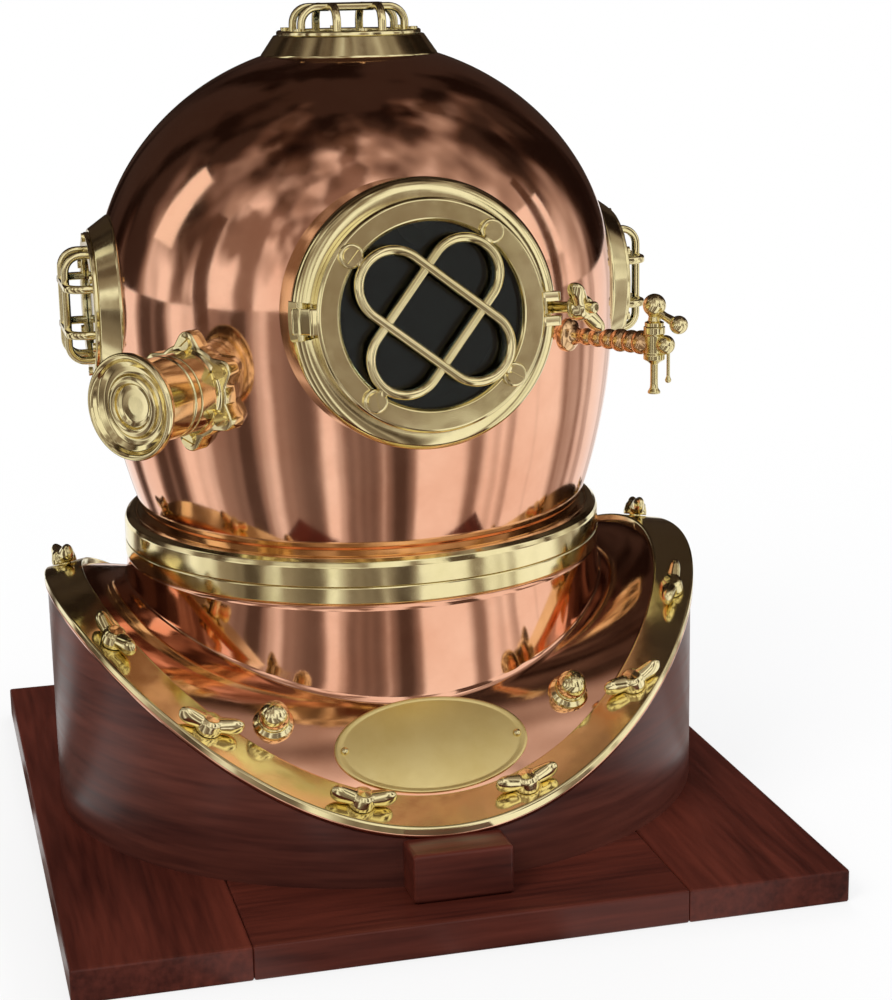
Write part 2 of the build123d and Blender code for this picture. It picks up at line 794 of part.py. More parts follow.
# Front door
def make_door():
    """Hinged brass ring with its glass, retaining ring and rubber seal."""
    glass_back = glass_depth + door_glass_thickness
    ring = turned([
        (window_bore, -glass_depth),
        (glass_radius + running_gap, -glass_depth),
        (glass_radius + running_gap, -door_back),
        (door_seal_inner, -door_back),
        (door_seal_inner, -door_back + door_seal_thickness),
        (door_seal_outer, -door_back + door_seal_thickness),
        (door_seal_outer, -door_back),
        (door_radius, -door_back),
        (door_radius, door_front - door_bevel),
        (door_radius - door_bevel, door_front),
        (window_bore + door_bevel, door_front),
        (window_bore, door_front - door_bevel),
    ])
    land = (door_seal_outer + door_radius) / 2
    arm = Plane.XZ * make_face(Polyline(
        (-land, door_front - door_bevel),
        (-hinge_reach, -hinge_depth + hinge_knuckle_radius + door_front),
        (-hinge_reach - hinge_knuckle_radius, -hinge_depth),
        (-hinge_reach, -hinge_depth - hinge_knuckle_radius),
        (-hinge_reach + hinge_knuckle_radius, -hinge_depth),
        (-land, -door_back + door_bevel),
        close=True,
    ))
    hinge_lug = extrude(arm, hinge_lug_width / 2, both=True)
    knuckle = Pos(-hinge_reach, 0, -hinge_depth) * Rot(90, 0, 0) * Cylinder(hinge_knuckle_radius, hinge_lug_width)
    pin_hole = Pos(-hinge_reach, 0, -hinge_depth) * Rot(90, 0, 0) * Cylinder(
        hinge_pin_radius + running_gap, hinge_pin_length
    )
    lug_thickness = door_front + door_back
    lug_centre = (door_front - door_back) / 2
    latch_lug = Pos((latch_lug_reach + land) / 2, 0, lug_centre) * Box(
        latch_lug_reach - land, latch_lug_width, lug_thickness
    )
    slot = Pos(latch_slot_start + latch_lug_reach / 2, 0, lug_centre) * Box(
        latch_lug_reach, latch_slot_width, lug_thickness + cut_over
    )
    ring = ring + hinge_lug + knuckle + latch_lug - slot - pin_hole
    shank = Cylinder(guard_screw_radius + running_gap, guard_screw_depth + cut_over, align=seated)
    hole_bottom = door_front + guard_foot_height - guard_screw_depth
    for x, y in screw_places():
        ring = ring - Pos(x, y, hole_bottom) * shank
    place = window_plane.location
    save("door_ring", place * ring)
    save("door_glass", place * Pos(0, 0, -glass_back) * Cylinder(glass_radius, door_glass_thickness, align=seated))
    save("glass_retainer", place * tube(glass_radius, window_bore, -door_back, -glass_back - running_gap))
    seal_back = -door_back
    save("door_gasket", place * tube(door_seal_outer, door_seal_inner, seal_back, seal_back + door_seal_thickness))


def screw_places():
    return ring_places(guard_screw_circle, 4, 45 + guard_turn)


def guard_loop():
    """One round-ended loop of rod, its long side on X, at the origin."""
    half_width = guard_loop_width / 2
    half_length = guard_loop_length / 2
    section = Circle(guard_rod_radius)
    long_rod = Plane.YZ * extrude(section, guard_loop_length / 2, both=True)
    loop = Pos(0, half_width) * long_rod + Pos(0, -half_width) * long_rod
    bend = revolve(Plane.YZ * (Pos(half_width, 0) * section), Axis.Z, 180)
    loop = loop + Pos(-half_length) * bend + Pos(half_length) * Rot(0, 0, 180) * bend
    return loop


def make_door_guard():
    """Two crossed loops of rod with four screwed feet."""
    turn = 45 + guard_turn
    loop = guard_loop()
    level = Pos(0, 0, guard_height)
    guard = level * Rot(0, 0, turn) * loop + level * Rot(0, 0, turn + 90) * loop
    foot_top = door_front + guard_foot_height
    loop_end = (guard_loop_length + guard_loop_width) / 2
    shank = Cylinder(guard_screw_radius + running_gap, guard_screw_depth + cut_over, align=seated)
    screws = []
    one_screw = slotted_screw(
        guard_screw_radius, guard_screw_depth, guard_screw_head_radius, guard_screw_head_height, guard_screw_slot
    )
    for number, (x, y) in enumerate(screw_places()):
        foot = Pos(x, y, door_front) * Cylinder(guard_foot_radius, guard_foot_height, align=seated)
        share = loop_end / guard_screw_circle
        start = Vector(x * share, y * share, guard_height)
        end = Vector(x, y, foot_top - guard_rod_radius / 2)
        guard = guard + foot + rod(start, end, guard_rod_radius)
        guard = guard - Pos(x, y, foot_top) * Cylinder(guard_screw_head_radius + running_gap, guard_height, align=seated)
        guard = guard - Pos(x, y, foot_top - guard_screw_depth) * shank
        screws.append(Pos(x, y, foot_top) * Rot(0, 0, number * 50) * one_screw)
    save("door_guard", window_plane.location * guard)
    save("guard_screws", Compound(children=[window_plane.location * screw for screw in screws]))


# Latch
def latch_plane():
    """Pivot of the swing bolt, with Z along the bolt and Y along the pivot pin."""
    lean = radians(latch_rest_angle)
    pivot = window_plane.from_local_coords(Vector(latch_reach, 0, -latch_depth))
    along = window_plane.z_dir * cos(lean) + window_plane.x_dir * sin(lean)
    across = window_plane.x_dir * cos(lean) - window_plane.z_dir * sin(lean)
    return Plane(pivot, x_dir=across, z_dir=along)


def make_latch():
    """Swing bolt, washer and wing nut, swung clear of the door's slot."""
    place = latch_plane().location
    eye = Rot(90, 0, 0) * Cylinder(latch_eye_radius, latch_eye_width)
    hole = Rot(90, 0, 0) * Cylinder(latch_pin_radius + running_gap, latch_eye_width + cut_over)
    bolt = eye + Cylinder(bolt_radius, bolt_length, align=seated) - hole
    save("swing_bolt", place * bolt)
    washer = tube(latch_washer_radius, bolt_radius + running_gap, 0, latch_washer_thickness)
    save("latch_washer", place * Pos(0, 0, latch_washer_place) * washer)
    nut_place = latch_washer_place + latch_washer_thickness + running_gap
    nut = wing_nut(bolt_radius + running_gap, nut_hub_radius - wall_gap)
    save("latch_wing_nut", place * Pos(0, 0, nut_place) * Rot(0, 0, latch_nut_turn) * nut)


latch_nut_turn = -49.0


# Exhaust valve
def make_exhaust_valve(dome_blank):
    """Lobed flange with its barrel, hand wheel, valve stem and screws."""
    place = exhaust_plane.location
    low = -exhaust_flange_depth
    flange = Pos(0, 0, low) * Cylinder(exhaust_flange_radius, exhaust_flange_face - low, align=seated)
    lobe = Pos(0, 0, low) * Cylinder(exhaust_lobe_radius, exhaust_flange_face - low, align=seated)
    lobe_places = ring_places(exhaust_lobe_circle, exhaust_lobes, 180 / exhaust_lobes)
    for x, y in lobe_places:
        flange = flange + Pos(x, y) * lobe
    body = flange + turned([
        (0, low),
        (exhaust_barrel_radius, low),
        (exhaust_barrel_radius, exhaust_barrel_top),
        (exhaust_neck_radius, exhaust_barrel_top),
        (exhaust_neck_radius, exhaust_neck_top),
        (0, exhaust_neck_top),
    ])
    body = body - Pos(0, 0, exhaust_seat_top) * Cylinder(exhaust_bore, exhaust_neck_top, align=seated)
    below = exhaust_seat_bottom - low + cut_over
    body = body - Pos(0, 0, exhaust_seat_bottom - below) * Cylinder(exhaust_bore, below, align=seated)
    body = body - Cylinder(exhaust_port_radius, 2 * exhaust_neck_top)
    bridge = Pos(0, 0, exhaust_seat_bottom - exhaust_bridge_depth) * Box(
        2 * exhaust_bore + wall_gap, exhaust_bridge_width, exhaust_bridge_depth, align=seated
    )
    body = body + bridge - Cylinder(stem_radius + running_gap, exhaust_neck_top)
    screw = slotted_screw(
        exhaust_screw_radius, exhaust_screw_depth, exhaust_screw_head_radius, exhaust_screw_head_height,
        exhaust_screw_slot,
    )
    screws = []
    drill_depth = exhaust_screw_depth + cut_over
    for number, (x, y) in enumerate(lobe_places):
        drill = Cylinder(exhaust_screw_radius + running_gap, drill_depth, align=seated)
        body = body - Pos(x, y, exhaust_flange_face - exhaust_screw_depth) * drill
        screws.append(place * Pos(x, y, exhaust_flange_face) * Rot(0, 0, number * 40) * screw)
    body = place * body - dome_blank
    save("exhaust_body", body.solids().sort_by(SortBy.VOLUME)[-1])
    save("exhaust_screws", Compound(children=[(screw - dome_blank).solids()[0] for screw in screws]))

    skirt_low = exhaust_barrel_top + turning_gap * 2
    skirt_bore = exhaust_neck_radius + running_gap
    knob = turned([
        (skirt_bore, skirt_low),
        (exhaust_barrel_radius, skirt_low),
        (exhaust_barrel_radius, knob_skirt_top),
        (knob_rim_radius, knob_rim_z - knob_rim_width),
        (knob_rim_radius, knob_rim_z + knob_rim_width / 2),
        (knob_rim_radius - knob_rim_width / 2, knob_rim_top),
        (knob_rim_radius - knob_rim_width, knob_rim_top),
        (knob_rim_radius - 2 * knob_rim_width, knob_rim_z),
        (knob_ring_outer + knob_rim_width, knob_dish_z),
        (knob_ring_outer, knob_dish_z + knob_rim_width / 4),
        (knob_ring_outer - knob_rim_width / 2, knob_ring_z),
        (knob_ring_inner + knob_rim_width / 2, knob_ring_z),
        (knob_ring_inner, knob_dish_z + knob_rim_width / 4),
        (knob_ring_inner / 2, knob_centre_z),
        (0, knob_centre_z),
        (0, knob_inside_top),
        (skirt_bore, knob_inside_top),
    ])
    save("exhaust_knob", place * knob)

    disc_low = exhaust_seat_top + turning_gap
    stem = Pos(0, 0, -stem_inner_length) * Cylinder(stem_radius, stem_inner_length + stem_outer_length, align=seated)
    disc = Pos(0, 0, disc_low) * Cylinder(valve_disc_radius, valve_disc_thickness, align=seated)
    button = Pos(0, 0, -stem_inner_length) * Cylinder(chin_button_radius, chin_button_thickness, align=seated)
    save("exhaust_stem", place * (stem + disc + button))


# Spitcock
def make_spitcock(dome_blank):
    """Small turned cock with beaded stem, upright plug, lever with two balls and spout."""
    place = spitcock_plane.location
    stem_end = spitcock_axis_place
    stem = Pos(0, 0, -cut_over) * Cylinder(spitcock_stem_radius, stem_end + cut_over, align=seated)
    flange = turned([
        (0, -cut_over),
        (spitcock_flange_radius, -cut_over),
        (spitcock_flange_radius, spitcock_flange_height / 2),
        (spitcock_stem_radius + spitcock_bead_width / 2, spitcock_flange_height),
        (spitcock_stem_radius, 2 * spitcock_flange_height),
        (0, 2 * spitcock_flange_height),
    ])
    body = stem + flange
    for along, radius in zip(spitcock_bead_places, spitcock_bead_radii):
        bead = turned([
            (0, -spitcock_bead_width),
            (spitcock_stem_radius, -spitcock_bead_width),
            (radius, -spitcock_bead_width / 2),
            (radius, spitcock_bead_width / 2),
            (spitcock_stem_radius, spitcock_bead_width),
            (0, spitcock_bead_width),
        ])
        body = body + Pos(0, 0, along) * bead
    upright = Pos(0, 0, spitcock_axis_place) * Rot(-90, 0, 0)
    barrel = Pos(0, 0, -cock_low) * Cylinder(cock_radius, cock_low + cock_high, align=seated)
    spout = Pos(0, 0, -spout_drop) * Cylinder(spout_radius, spout_drop, align=seated)
    lip = Pos(0, 0, -spout_drop) * Cone(spout_lip_radius, spout_radius, spout_lip_height, align=seated)
    end_ball = Pos(0, 0, spitcock_axis_place + cock_end_place) * Sphere(cock_end_ball)
    drip = Pos(0, -drip_pin_place, 0) * (
        Pos(0, 0, -drip_pin_drop) * Cylinder(drip_pin_radius, drip_pin_drop, align=seated)
        + Pos(0, 0, -drip_pin_drop) * Sphere(drip_ball_radius)
    )
    body = body + upright * (barrel + spout + lip + drip) + end_ball
    plug_hole = Pos(0, 0, -cock_low + spout_bore) * Cylinder(cock_bore, 2 * cock_high, align=seated)
    spout_hole = Pos(0, 0, -spout_drop - cut_over) * Cylinder(spout_bore, spout_drop, align=seated)
    stem_hole = Pos(0, 0, -cut_over) * Cylinder(spout_bore, stem_end + cut_over, align=seated)
    body = body - upright * (plug_hole + spout_hole) - stem_hole
    body = place * body - dome_blank
    save("spitcock_body", body.solids().sort_by(SortBy.VOLUME)[-1])

    plug_low = -cock_low + spout_bore + running_gap
    collar_low = cock_high + turning_gap
    plug = Pos(0, 0, plug_low) * Cylinder(cock_bore - running_gap, collar_low - plug_low, align=seated)
    plug = plug + Pos(0, 0, collar_low) * Cylinder(plug_collar_radius, plug_collar_height, align=seated)
    plug = plug + Cylinder(plug_neck_radius, plug_ball_height, align=seated) - Pos(0, 0, -cut_over) * tube(
        plug_ball_radius, cock_bore - running_gap, 0, collar_low + cut_over
    )
    plug = plug + Pos(0, 0, plug_ball_height) * Sphere(plug_ball_radius)
    arm_end = Vector(0, -plug_arm_reach, plug_arm_height)
    plug = plug + rod(Vector(0, 0, plug_arm_start), arm_end, plug_arm_radius)
    plug = plug + Pos(arm_end) * Sphere(plug_arm_ball)
    save("spitcock_plug", place * upright * plug)


# Elbows at the back
def make_elbows(dome_blank):
    """Air inlet and telephone elbows with knurled caps."""
    flange = Pos(0, 0, -elbow_tube_radius) * Cylinder(
        elbow_flange_radius, elbow_tube_radius + elbow_flange_height, align=seated
    )
    out = Pos(0, 0, -elbow_tube_radius) * Cylinder(elbow_tube_radius, elbow_tube_radius + elbow_out, align=seated)
    corner = Pos(0, 0, elbow_out)
    pivot = Axis((0, -elbow_bend, 0), (1, 0, 0))
    bend = corner * revolve(Circle(elbow_tube_radius), pivot, 90)
    bend_bore = corner * revolve(Circle(elbow_bore), pivot, 90)
    mouth = Pos(0, -elbow_bend, elbow_out + elbow_bend) * Rot(90, 0, 0)
    down = mouth * Cylinder(elbow_tube_radius, elbow_down, align=seated)
    union = mouth * Cylinder(elbow_union_radius, elbow_union_height, align=seated)
    bores = Pos(0, 0, -2 * elbow_tube_radius) * Cylinder(elbow_bore, 2 * elbow_tube_radius + elbow_out, align=seated)
    bores = bores + bend_bore + mouth * Cylinder(elbow_bore, elbow_down + cut_over, align=seated)
    elbow = flange + out + bend + down + union - bores
    cap = Pos(0, 0, elbow_union_height + running_gap) * Cylinder(cap_radius, cap_height, align=seated)
    for x, y in ring_places(cap_radius, cap_grips):
        cap = cap - Pos(x, y) * Cylinder(cap_grip_radius, 2 * (cap_height + elbow_union_height) + cut_over)
    socket = elbow_down - elbow_union_height
    cap = cap - Cylinder(elbow_tube_radius + running_gap, 2 * (elbow_union_height + socket + running_gap))
    caps = []
    for name, plane in zip(("air_elbow", "phone_elbow"), elbow_planes):
        seated_elbow = plane.location * elbow - dome_blank
        save(name, seated_elbow.solids().sort_by(SortBy.VOLUME)[-1])
        caps.append(plane.location * mouth * cap)
    save("elbow_caps", Compound(children=caps))


seated = (Align.CENTER, Align.CENTER, Align.MIN)
centred = (Align.CENTER, Align.CENTER, Align.CENTER)

dome_blank = dome_solid()
make_stand()
make_breastplate()
make_rim_nuts()
make_neck_rings(dome_blank)
make_bonnet_shell(dome_blank)
make_front_port_seat(dome_blank)
make_ports(dome_blank)
make_door()
make_door_guard()
make_latch()
make_exhaust_valve(dome_blank)
make_spitcock(dome_blank)
make_elbows(dome_blank)
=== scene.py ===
import bmesh
import bpy
import numpy as np
from mathutils import Matrix


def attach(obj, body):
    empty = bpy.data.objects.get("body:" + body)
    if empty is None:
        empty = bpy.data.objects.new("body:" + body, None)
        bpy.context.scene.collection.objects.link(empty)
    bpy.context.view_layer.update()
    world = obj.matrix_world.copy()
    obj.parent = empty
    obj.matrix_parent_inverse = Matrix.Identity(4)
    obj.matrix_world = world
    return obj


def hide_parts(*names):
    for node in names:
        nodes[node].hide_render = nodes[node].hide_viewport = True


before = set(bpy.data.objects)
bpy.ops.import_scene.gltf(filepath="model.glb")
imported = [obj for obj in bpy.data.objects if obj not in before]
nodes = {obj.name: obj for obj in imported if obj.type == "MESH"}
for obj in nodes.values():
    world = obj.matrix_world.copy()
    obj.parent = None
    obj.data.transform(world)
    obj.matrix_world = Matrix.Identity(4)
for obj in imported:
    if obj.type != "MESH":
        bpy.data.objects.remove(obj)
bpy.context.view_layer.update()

# Board. A centre plank with its grain running left to right between two cross-grained end planks,
# glued, planed flush, eased along the edges and varnished a dark reddish brown.
mm = 0.001
weld = 2e-6


def skin(name, rows, finish, body, stands_for=(), sharp=38, loop=False):
    """Surface over a grid of points in mm, closed across each row; loop joins the last row to the first."""
    rows = np.asarray(rows, dtype=float) * mm
    m, n = rows.shape[:2]
    i = np.arange(m if loop else m - 1)[:, None]
    j = np.arange(n)[None, :]
    corners = [i * n + j, i * n + (j + 1) % n, ((i + 1) % m) * n + (j + 1) % n, ((i + 1) % m) * n + j]
    quads = np.stack([np.broadcast_to(c, (len(i), n)) for c in corners], -1).reshape(-1, 4)
    points = rows.reshape(-1, 3)
    a, b, c, d = (points[quads[:, k]] for k in range(4))
    volume = np.einsum("ij,ij->i", a, np.cross(b, c)).sum() + np.einsum("ij,ij->i", a, np.cross(c, d)).sum()
    if volume < 0:
        quads = quads[:, ::-1]
    mesh = bpy.data.meshes.new(name)
    mesh.from_pydata(points.tolist(), [], quads.tolist())
    work = bmesh.new()
    work.from_mesh(mesh)
    bmesh.ops.remove_doubles(work, verts=work.verts, dist=weld)
    work.to_mesh(mesh)
    work.free()
    mesh.shade_smooth()
    mesh.set_sharp_from_angle(angle=np.radians(sharp))
    mesh.materials.append(finish)
    piece = bpy.data.objects.new(name, mesh)
    bpy.context.scene.collection.objects.link(piece)
    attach(piece, body)
    if stands_for:
        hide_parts(*stands_for)
    return piece


def eased(outline, radius, steps=4, closed=True):
    """Outline whose corners become small curves from one radius before to one after, its runs kept flat."""
    run_share, flat_share = 0.45, 0.09
    outline = np.asarray(outline, dtype=float)
    before = np.roll(outline, 1, 0) - outline
    after = np.roll(outline, -1, 0) - outline
    room = np.minimum(np.linalg.norm(before, axis=1), np.linalg.norm(after, axis=1)) * run_share
    cut = np.minimum(radius, room)[:, None]
    start = outline + before / np.maximum(np.linalg.norm(before, axis=1), 1e-9)[:, None] * cut
    end = outline + after / np.maximum(np.linalg.norm(after, axis=1), 1e-9)[:, None] * cut
    if not closed:
        start[[0, -1]] = end[[0, -1]] = outline[[0, -1]]
    t = np.linspace(0, 1, steps + 1)[None, :, None]
    curve = start[:, None] * (1 - t) ** 2 + outline[:, None] * 2 * t * (1 - t) + end[:, None] * t**2
    lead = start + (start - outline) * flat_share
    tail = end + (end - outline) * flat_share
    return np.concatenate([lead[:, None], curve, tail[:, None]], 1).reshape(-1, 2)


def shader(name):
    """New material with its nodes, and its Principled shader."""
    material = bpy.data.materials.new(name)
    material.use_nodes = True
    return material, material.node_tree, material.node_tree.nodes["Principled BSDF"]


def node(tree, kind, **values):
    """New shader node with the values of its inputs; an underscore stands for a space in an input's name."""
    made = tree.nodes.new("ShaderNode" + kind)
    for key, value in values.items():
        made.inputs[key.replace("_", " ")].default_value = value
    return made


def ramp(tree, low, high, between=()):
    """Colour ramp between two stops, each a place and a colour, with any others between them."""
    made = node(tree, "ValToRGB")
    for stop, (place, colour) in zip(made.color_ramp.elements, (low, high)):
        stop.position, stop.color = place, (*colour, 1)
    for place, colour in between:
        made.color_ramp.elements.new(place).color = (*colour, 1)
    return made


def wire(tree, *runs):
    """Links, each from a node's output to another node's input."""
    for start, output, end, entry in runs:
        tree.links.new(start.outputs[output], end.inputs[entry])


def grained_wood(name, along, dark=(0.026, 0.0052, 0.0038), light=(0.150, 0.030, 0.017)):
    """Varnished wood: fine long fibres and slow bands of colour that run along the given axes."""
    material, tree, surface = shader(name)
    place = node(tree, "TexCoord")
    stretch = node(tree, "Mapping", Scale=tuple(0.07 if k in along else 1.0 for k in range(3)))
    fibres = node(tree, "TexNoise", Scale=260, Detail=5)
    bands = node(tree, "TexNoise", Scale=26, Detail=3, Distortion=1.2)
    both = node(tree, "Mix", Factor=0.42)
    shade = ramp(tree, (0.30, dark), (0.80, light))
    gloss = node(tree, "MapRange", To_Min=0.24, To_Max=0.42)
    pores = node(tree, "Bump", Strength=0.12, Distance=0.0004)
    wire(tree, (place, "Object", stretch, "Vector"), (stretch, "Vector", fibres, "Vector"),
         (stretch, "Vector", bands, "Vector"), (bands, "Fac", both, "A"), (fibres, "Fac", both, "B"),
         (both, "Result", shade, "Fac"), (shade, "Color", surface, "Base Color"),
         (fibres, "Fac", gloss, "Value"), (gloss, "Result", surface, "Roughness"),
         (fibres, "Fac", pores, "Height"), (pores, "Normal", surface, "Normal"))
    surface.inputs["Specular IOR Level"].default_value = 0.2
    surface.inputs["Coat Weight"].default_value = 0.07
    surface.inputs["Coat Roughness"].default_value = 0.12
    return material


def plank(name, low, high, finish, nodes_shown, ease=1.2):
    """Board between two corners: a rectangle with eased corners, carried up an eased edge profile."""
    low, high = np.asarray(low, float), np.asarray(high, float)
    inset = ease * np.array([1.4, 1.0, 0.3, 0.0, 0.0, 0.0, 0.0, 0.3, 1.0, 1.4])
    drop = ease * np.array([0.0, 0.0, 0.3, 1.0, 1.2, -1.2, -1.0, -0.3, 0.0, 0.0])
    level = np.where(np.arange(len(drop)) < len(drop) // 2, low[2], high[2]) + drop
    sides = []
    for side, z in zip(inset, level):
        a, b = low[:2] + side, high[:2] - side
        ring = eased([(a[0], a[1]), (b[0], a[1]), (b[0], b[1]), (a[0], b[1])], ease)
        sides.append(np.column_stack([ring, np.full(len(ring), z)]))
    centre = (low + high) / 2
    rows = [np.broadcast_to([centre[0], centre[1], z], sides[0].shape) for z in (low[2], high[2])]
    rows = [rows[0]] + sides + [rows[1]]
    return skin(name, rows, finish, "stand", nodes_shown, sharp=50)


board_half_width, board_half_depth, board_top, joint, glue_line = 200, 215, 18, 112, 0.05
board_across = grained_wood("board_wood_across", (0,))
board_deep = grained_wood("board_wood_deep", (1,))
plank("board_middle", (-joint, -board_half_depth, 0), (joint, board_half_depth, board_top), board_across,
      ["centre_board"])
plank("board_end_right", (joint + glue_line, -board_half_depth, 0),
      (board_half_width, board_half_depth, board_top), board_deep, ["end_boards"])
plank("board_end_left", (-board_half_width, -board_half_depth, 0),
      (-joint - glue_line, board_half_depth, board_top), board_deep, [])

# Drum. A hollow oval wall of bent and glued wood whose top edge is sawn to the saddle line of the
# breastplate's rim, with a small block of the board's wood set against it at the front.
drum_half_width, drum_back, drum_wall, drum_edge = 184, 6, 20, 0.8
saddle_low, saddle_rise = 43, 99


def saddle(x):
    """Height of the saddle line: lowest in the middle, rising with the square of x."""
    return saddle_low + saddle_rise * (x / drum_half_width) ** 2


turn = np.linspace(0, 2 * np.pi, 361)[:-1]
drum_wood = grained_wood("drum_wood", (0, 1), dark=(0.030, 0.0075, 0.0060), light=(0.160, 0.042, 0.026))
inner = drum_half_width - drum_wall
narrower, edge_drop, edge_share = 8, 0.7, 0.97
sides = [(drum_half_width, 0.0), (drum_half_width, edge_share), (drum_half_width - drum_edge, 1.0),
         (inner + drum_edge, 1.0), (inner, edge_share), (inner, 0.0)]
rows = []
for half, share in sides:
    x = half * np.sin(turn)
    y = drum_back - (half - narrower) * np.cos(turn)
    top = saddle(np.clip(x, -drum_half_width, drum_half_width)) - (0.0 if share == 1 else edge_drop)
    rows.append(np.column_stack([x, y, board_top + (top - board_top) * (1.0 if share else 0.0)]))
skin("drum_wall", rows, drum_wood, "stand", ["drum"], loop=True)
block_half, block_front, block_back, block_top = 26, -192, -168, 44
plank("front_stop", (-block_half, block_front, board_top), (block_half, block_back, block_top), board_across,
      ["front_block"], ease=1.6)

# Breastplate. Copper sheet spun and beaten to a collar over a sloping yoke, with a flat margin that
# lies along the saddle line under the clamping straps; it is polished bright all over.
neck_back, collar_radius, collar_top, crease_radius = 28, 136, 151.0, 138
crease_low, crease_rise, rim_half_width, rim_half_depth, rim_lift = 97, 40, 185.5, 177.5, 2.3


def rim(f):
    """Outer edge of the margin round the neck, f measured from the front."""
    x = rim_half_width * np.sin(f)
    return np.stack([x, drum_back - rim_half_depth * np.cos(f), saddle(x) + rim_lift], -1)


def crease(f):
    """Foot of the collar, higher at the shoulders than at the front and back."""
    z = crease_low + crease_rise * np.sin(f) ** 2
    return np.stack([crease_radius * np.sin(f), neck_back - crease_radius * np.cos(f), z], -1)


def strap_edge(f, width=24.0):
    """Inner edge of the margin, one strap width in from the rim and tilted up towards the neck."""
    front_tilt, side_tilt = 24, 4
    inward = (crease(f) - rim(f)) * [1, 1, 0]
    inward /= np.linalg.norm(inward, axis=-1, keepdims=True)
    tilt = np.radians(front_tilt * np.cos(f) ** 2 + side_tilt * np.sin(f) ** 2)[..., None]
    return rim(f) + inward * width * np.cos(tilt) + np.array([0, 0, 1]) * width * np.sin(tilt)


def slope(f, share):
    """Bulging yoke between the strap's inner edge and the collar's foot, as a quadratic curve."""
    bulge = np.array([0, 0, 0.12])
    low, high = strap_edge(f), crease(f)
    middle = (low + high) / 2 + bulge * np.linalg.norm(high - low, axis=-1, keepdims=True)
    share = np.asarray(share)[..., None]
    return low * (1 - share) ** 2 + middle * 2 * share * (1 - share) + high * share**2


def outward(place, f, share=None):
    """Unit normal of the margin or of the yoke, pointing up and out."""
    s = 0.01
    if share is None:
        across, along = strap_edge(f) - rim(f), place(f + s) - place(f - s)
    else:
        across, along = slope(f, share + s) - slope(f, share - s), slope(f + s, share) - slope(f - s, share)
    normal = np.cross(along, across)
    normal /= np.linalg.norm(normal, axis=-1, keepdims=True)
    return normal * np.sign(normal[..., 2:])


def bright_metal(name, base, deep, rough=(0.05, 0.13), wave=0.10, scale=9.0, smear=0.5):
    """Hand-polished metal: slow drifts of colour, finer haze in the gloss, and soft waves of beaten sheet."""
    material, tree, surface = shader(name)
    place = node(tree, "TexCoord")
    drift = node(tree, "TexNoise", Scale=scale, Detail=6, Roughness=0.6)
    tint = ramp(tree, (0.34, deep), (0.60, base))
    haze = node(tree, "TexNoise", Scale=scale * 6, Detail=8, Roughness=0.7)
    gloss = node(tree, "MapRange", From_Min=0.3, From_Max=0.75, To_Min=rough[0], To_Max=rough[1])
    beat = node(tree, "TexNoise", Scale=scale * 2.2, Detail=1.5)
    dents = node(tree, "Bump", Strength=wave, Distance=0.004)
    scratch = node(tree, "Bump", Strength=0.04 * smear, Distance=0.0005)
    wire(tree, *((place, "Object", texture, "Vector") for texture in (drift, haze, beat)))
    wire(tree, (drift, "Fac", tint, "Fac"), (tint, "Color", surface, "Base Color"),
         (haze, "Fac", gloss, "Value"), (gloss, "Result", surface, "Roughness"),
         (beat, "Fac", dents, "Height"), (haze, "Fac", scratch, "Height"),
         (dents, "Normal", scratch, "Normal"), (scratch, "Normal", surface, "Normal"))
    surface.inputs["Metallic"].default_value = 1.0
    return material


def dull(name, base, deep, rough, scale, bump):
    """Matt finish with a fine uneven grain."""
    material, tree, surface = shader(name)
    place = node(tree, "TexCoord")
    grain = node(tree, "TexNoise", Scale=scale, Detail=6)
    tint = ramp(tree, (0.35, deep), (0.7, base))
    relief = node(tree, "Bump", Strength=bump, Distance=0.0006)
    wire(tree, (place, "Object", grain, "Vector"), (grain, "Fac", tint, "Fac"),
         (tint, "Color", surface, "Base Color"), (grain, "Fac", relief, "Height"),
         (relief, "Normal", surface, "Normal"))
    surface.inputs["Roughness"].default_value = rough
    return material


def walled(piece, thickness, shade_finish):
    """Gives an open sheet its wall, inwards, with a second material on the inside, here a near-black painted
    shade.
    """
    piece.data.materials.append(shade_finish)
    wall = piece.modifiers.new("wall", "SOLIDIFY")
    wall.thickness = thickness * mm
    wall.offset = -1
    wall.use_even_offset = True
    wall.material_offset = 1
    wall.material_offset_rim = 0


sheet = 2
copper = bright_metal("polished_copper", (0.94, 0.53, 0.36), (0.82, 0.41, 0.26))
# Near-black painted shade for the inside of the copper sheet, whose real inside is tinned.
inside_shade = dull("inside_painted_shade", (0.012, 0.011, 0.010), (0.004, 0.004, 0.004), 0.7, 60, 0.2)
f = turn
collar = [collar_radius * np.sin(f), neck_back - collar_radius * np.cos(f), np.full(len(f), collar_top)]
collar = np.stack(collar, -1)
foot = crease(f)
collar_shares, yoke_shares = np.linspace(0, 0.94, 12), np.linspace(0, 0.95, 20)[::-1]
section = [collar + (foot - collar) * share for share in collar_shares]
near = [slope(f, np.full(len(f), share)) for share in yoke_shares]
a, b = section[-1], near[0]
section += [a * (1 - t) ** 2 + foot * 2 * t * (1 - t) + b * t**2 for t in (0.2, 0.4, 0.6, 0.8)]
section += near + [strap_edge(f, width) for width in (18.0, 12.0, 6.0)] + [rim(f)]
yoke = skin("yoke", section, copper, "breastplate", ["corselet_shell"], sharp=60)
# The yoke's inside gets the near-black painted shade.
walled(yoke, sheet, inside_shade)

# Clamping straps. Two cast brass straps, front and back, that meet at the shoulders and press the
# margin down; their edges are filed round and the brass is polished a greenish yellow.
brass = bright_metal("polished_brass", (0.93, 0.82, 0.47), (0.80, 0.70, 0.36), rough=(0.07, 0.19), wave=0.12,
                     scale=14)


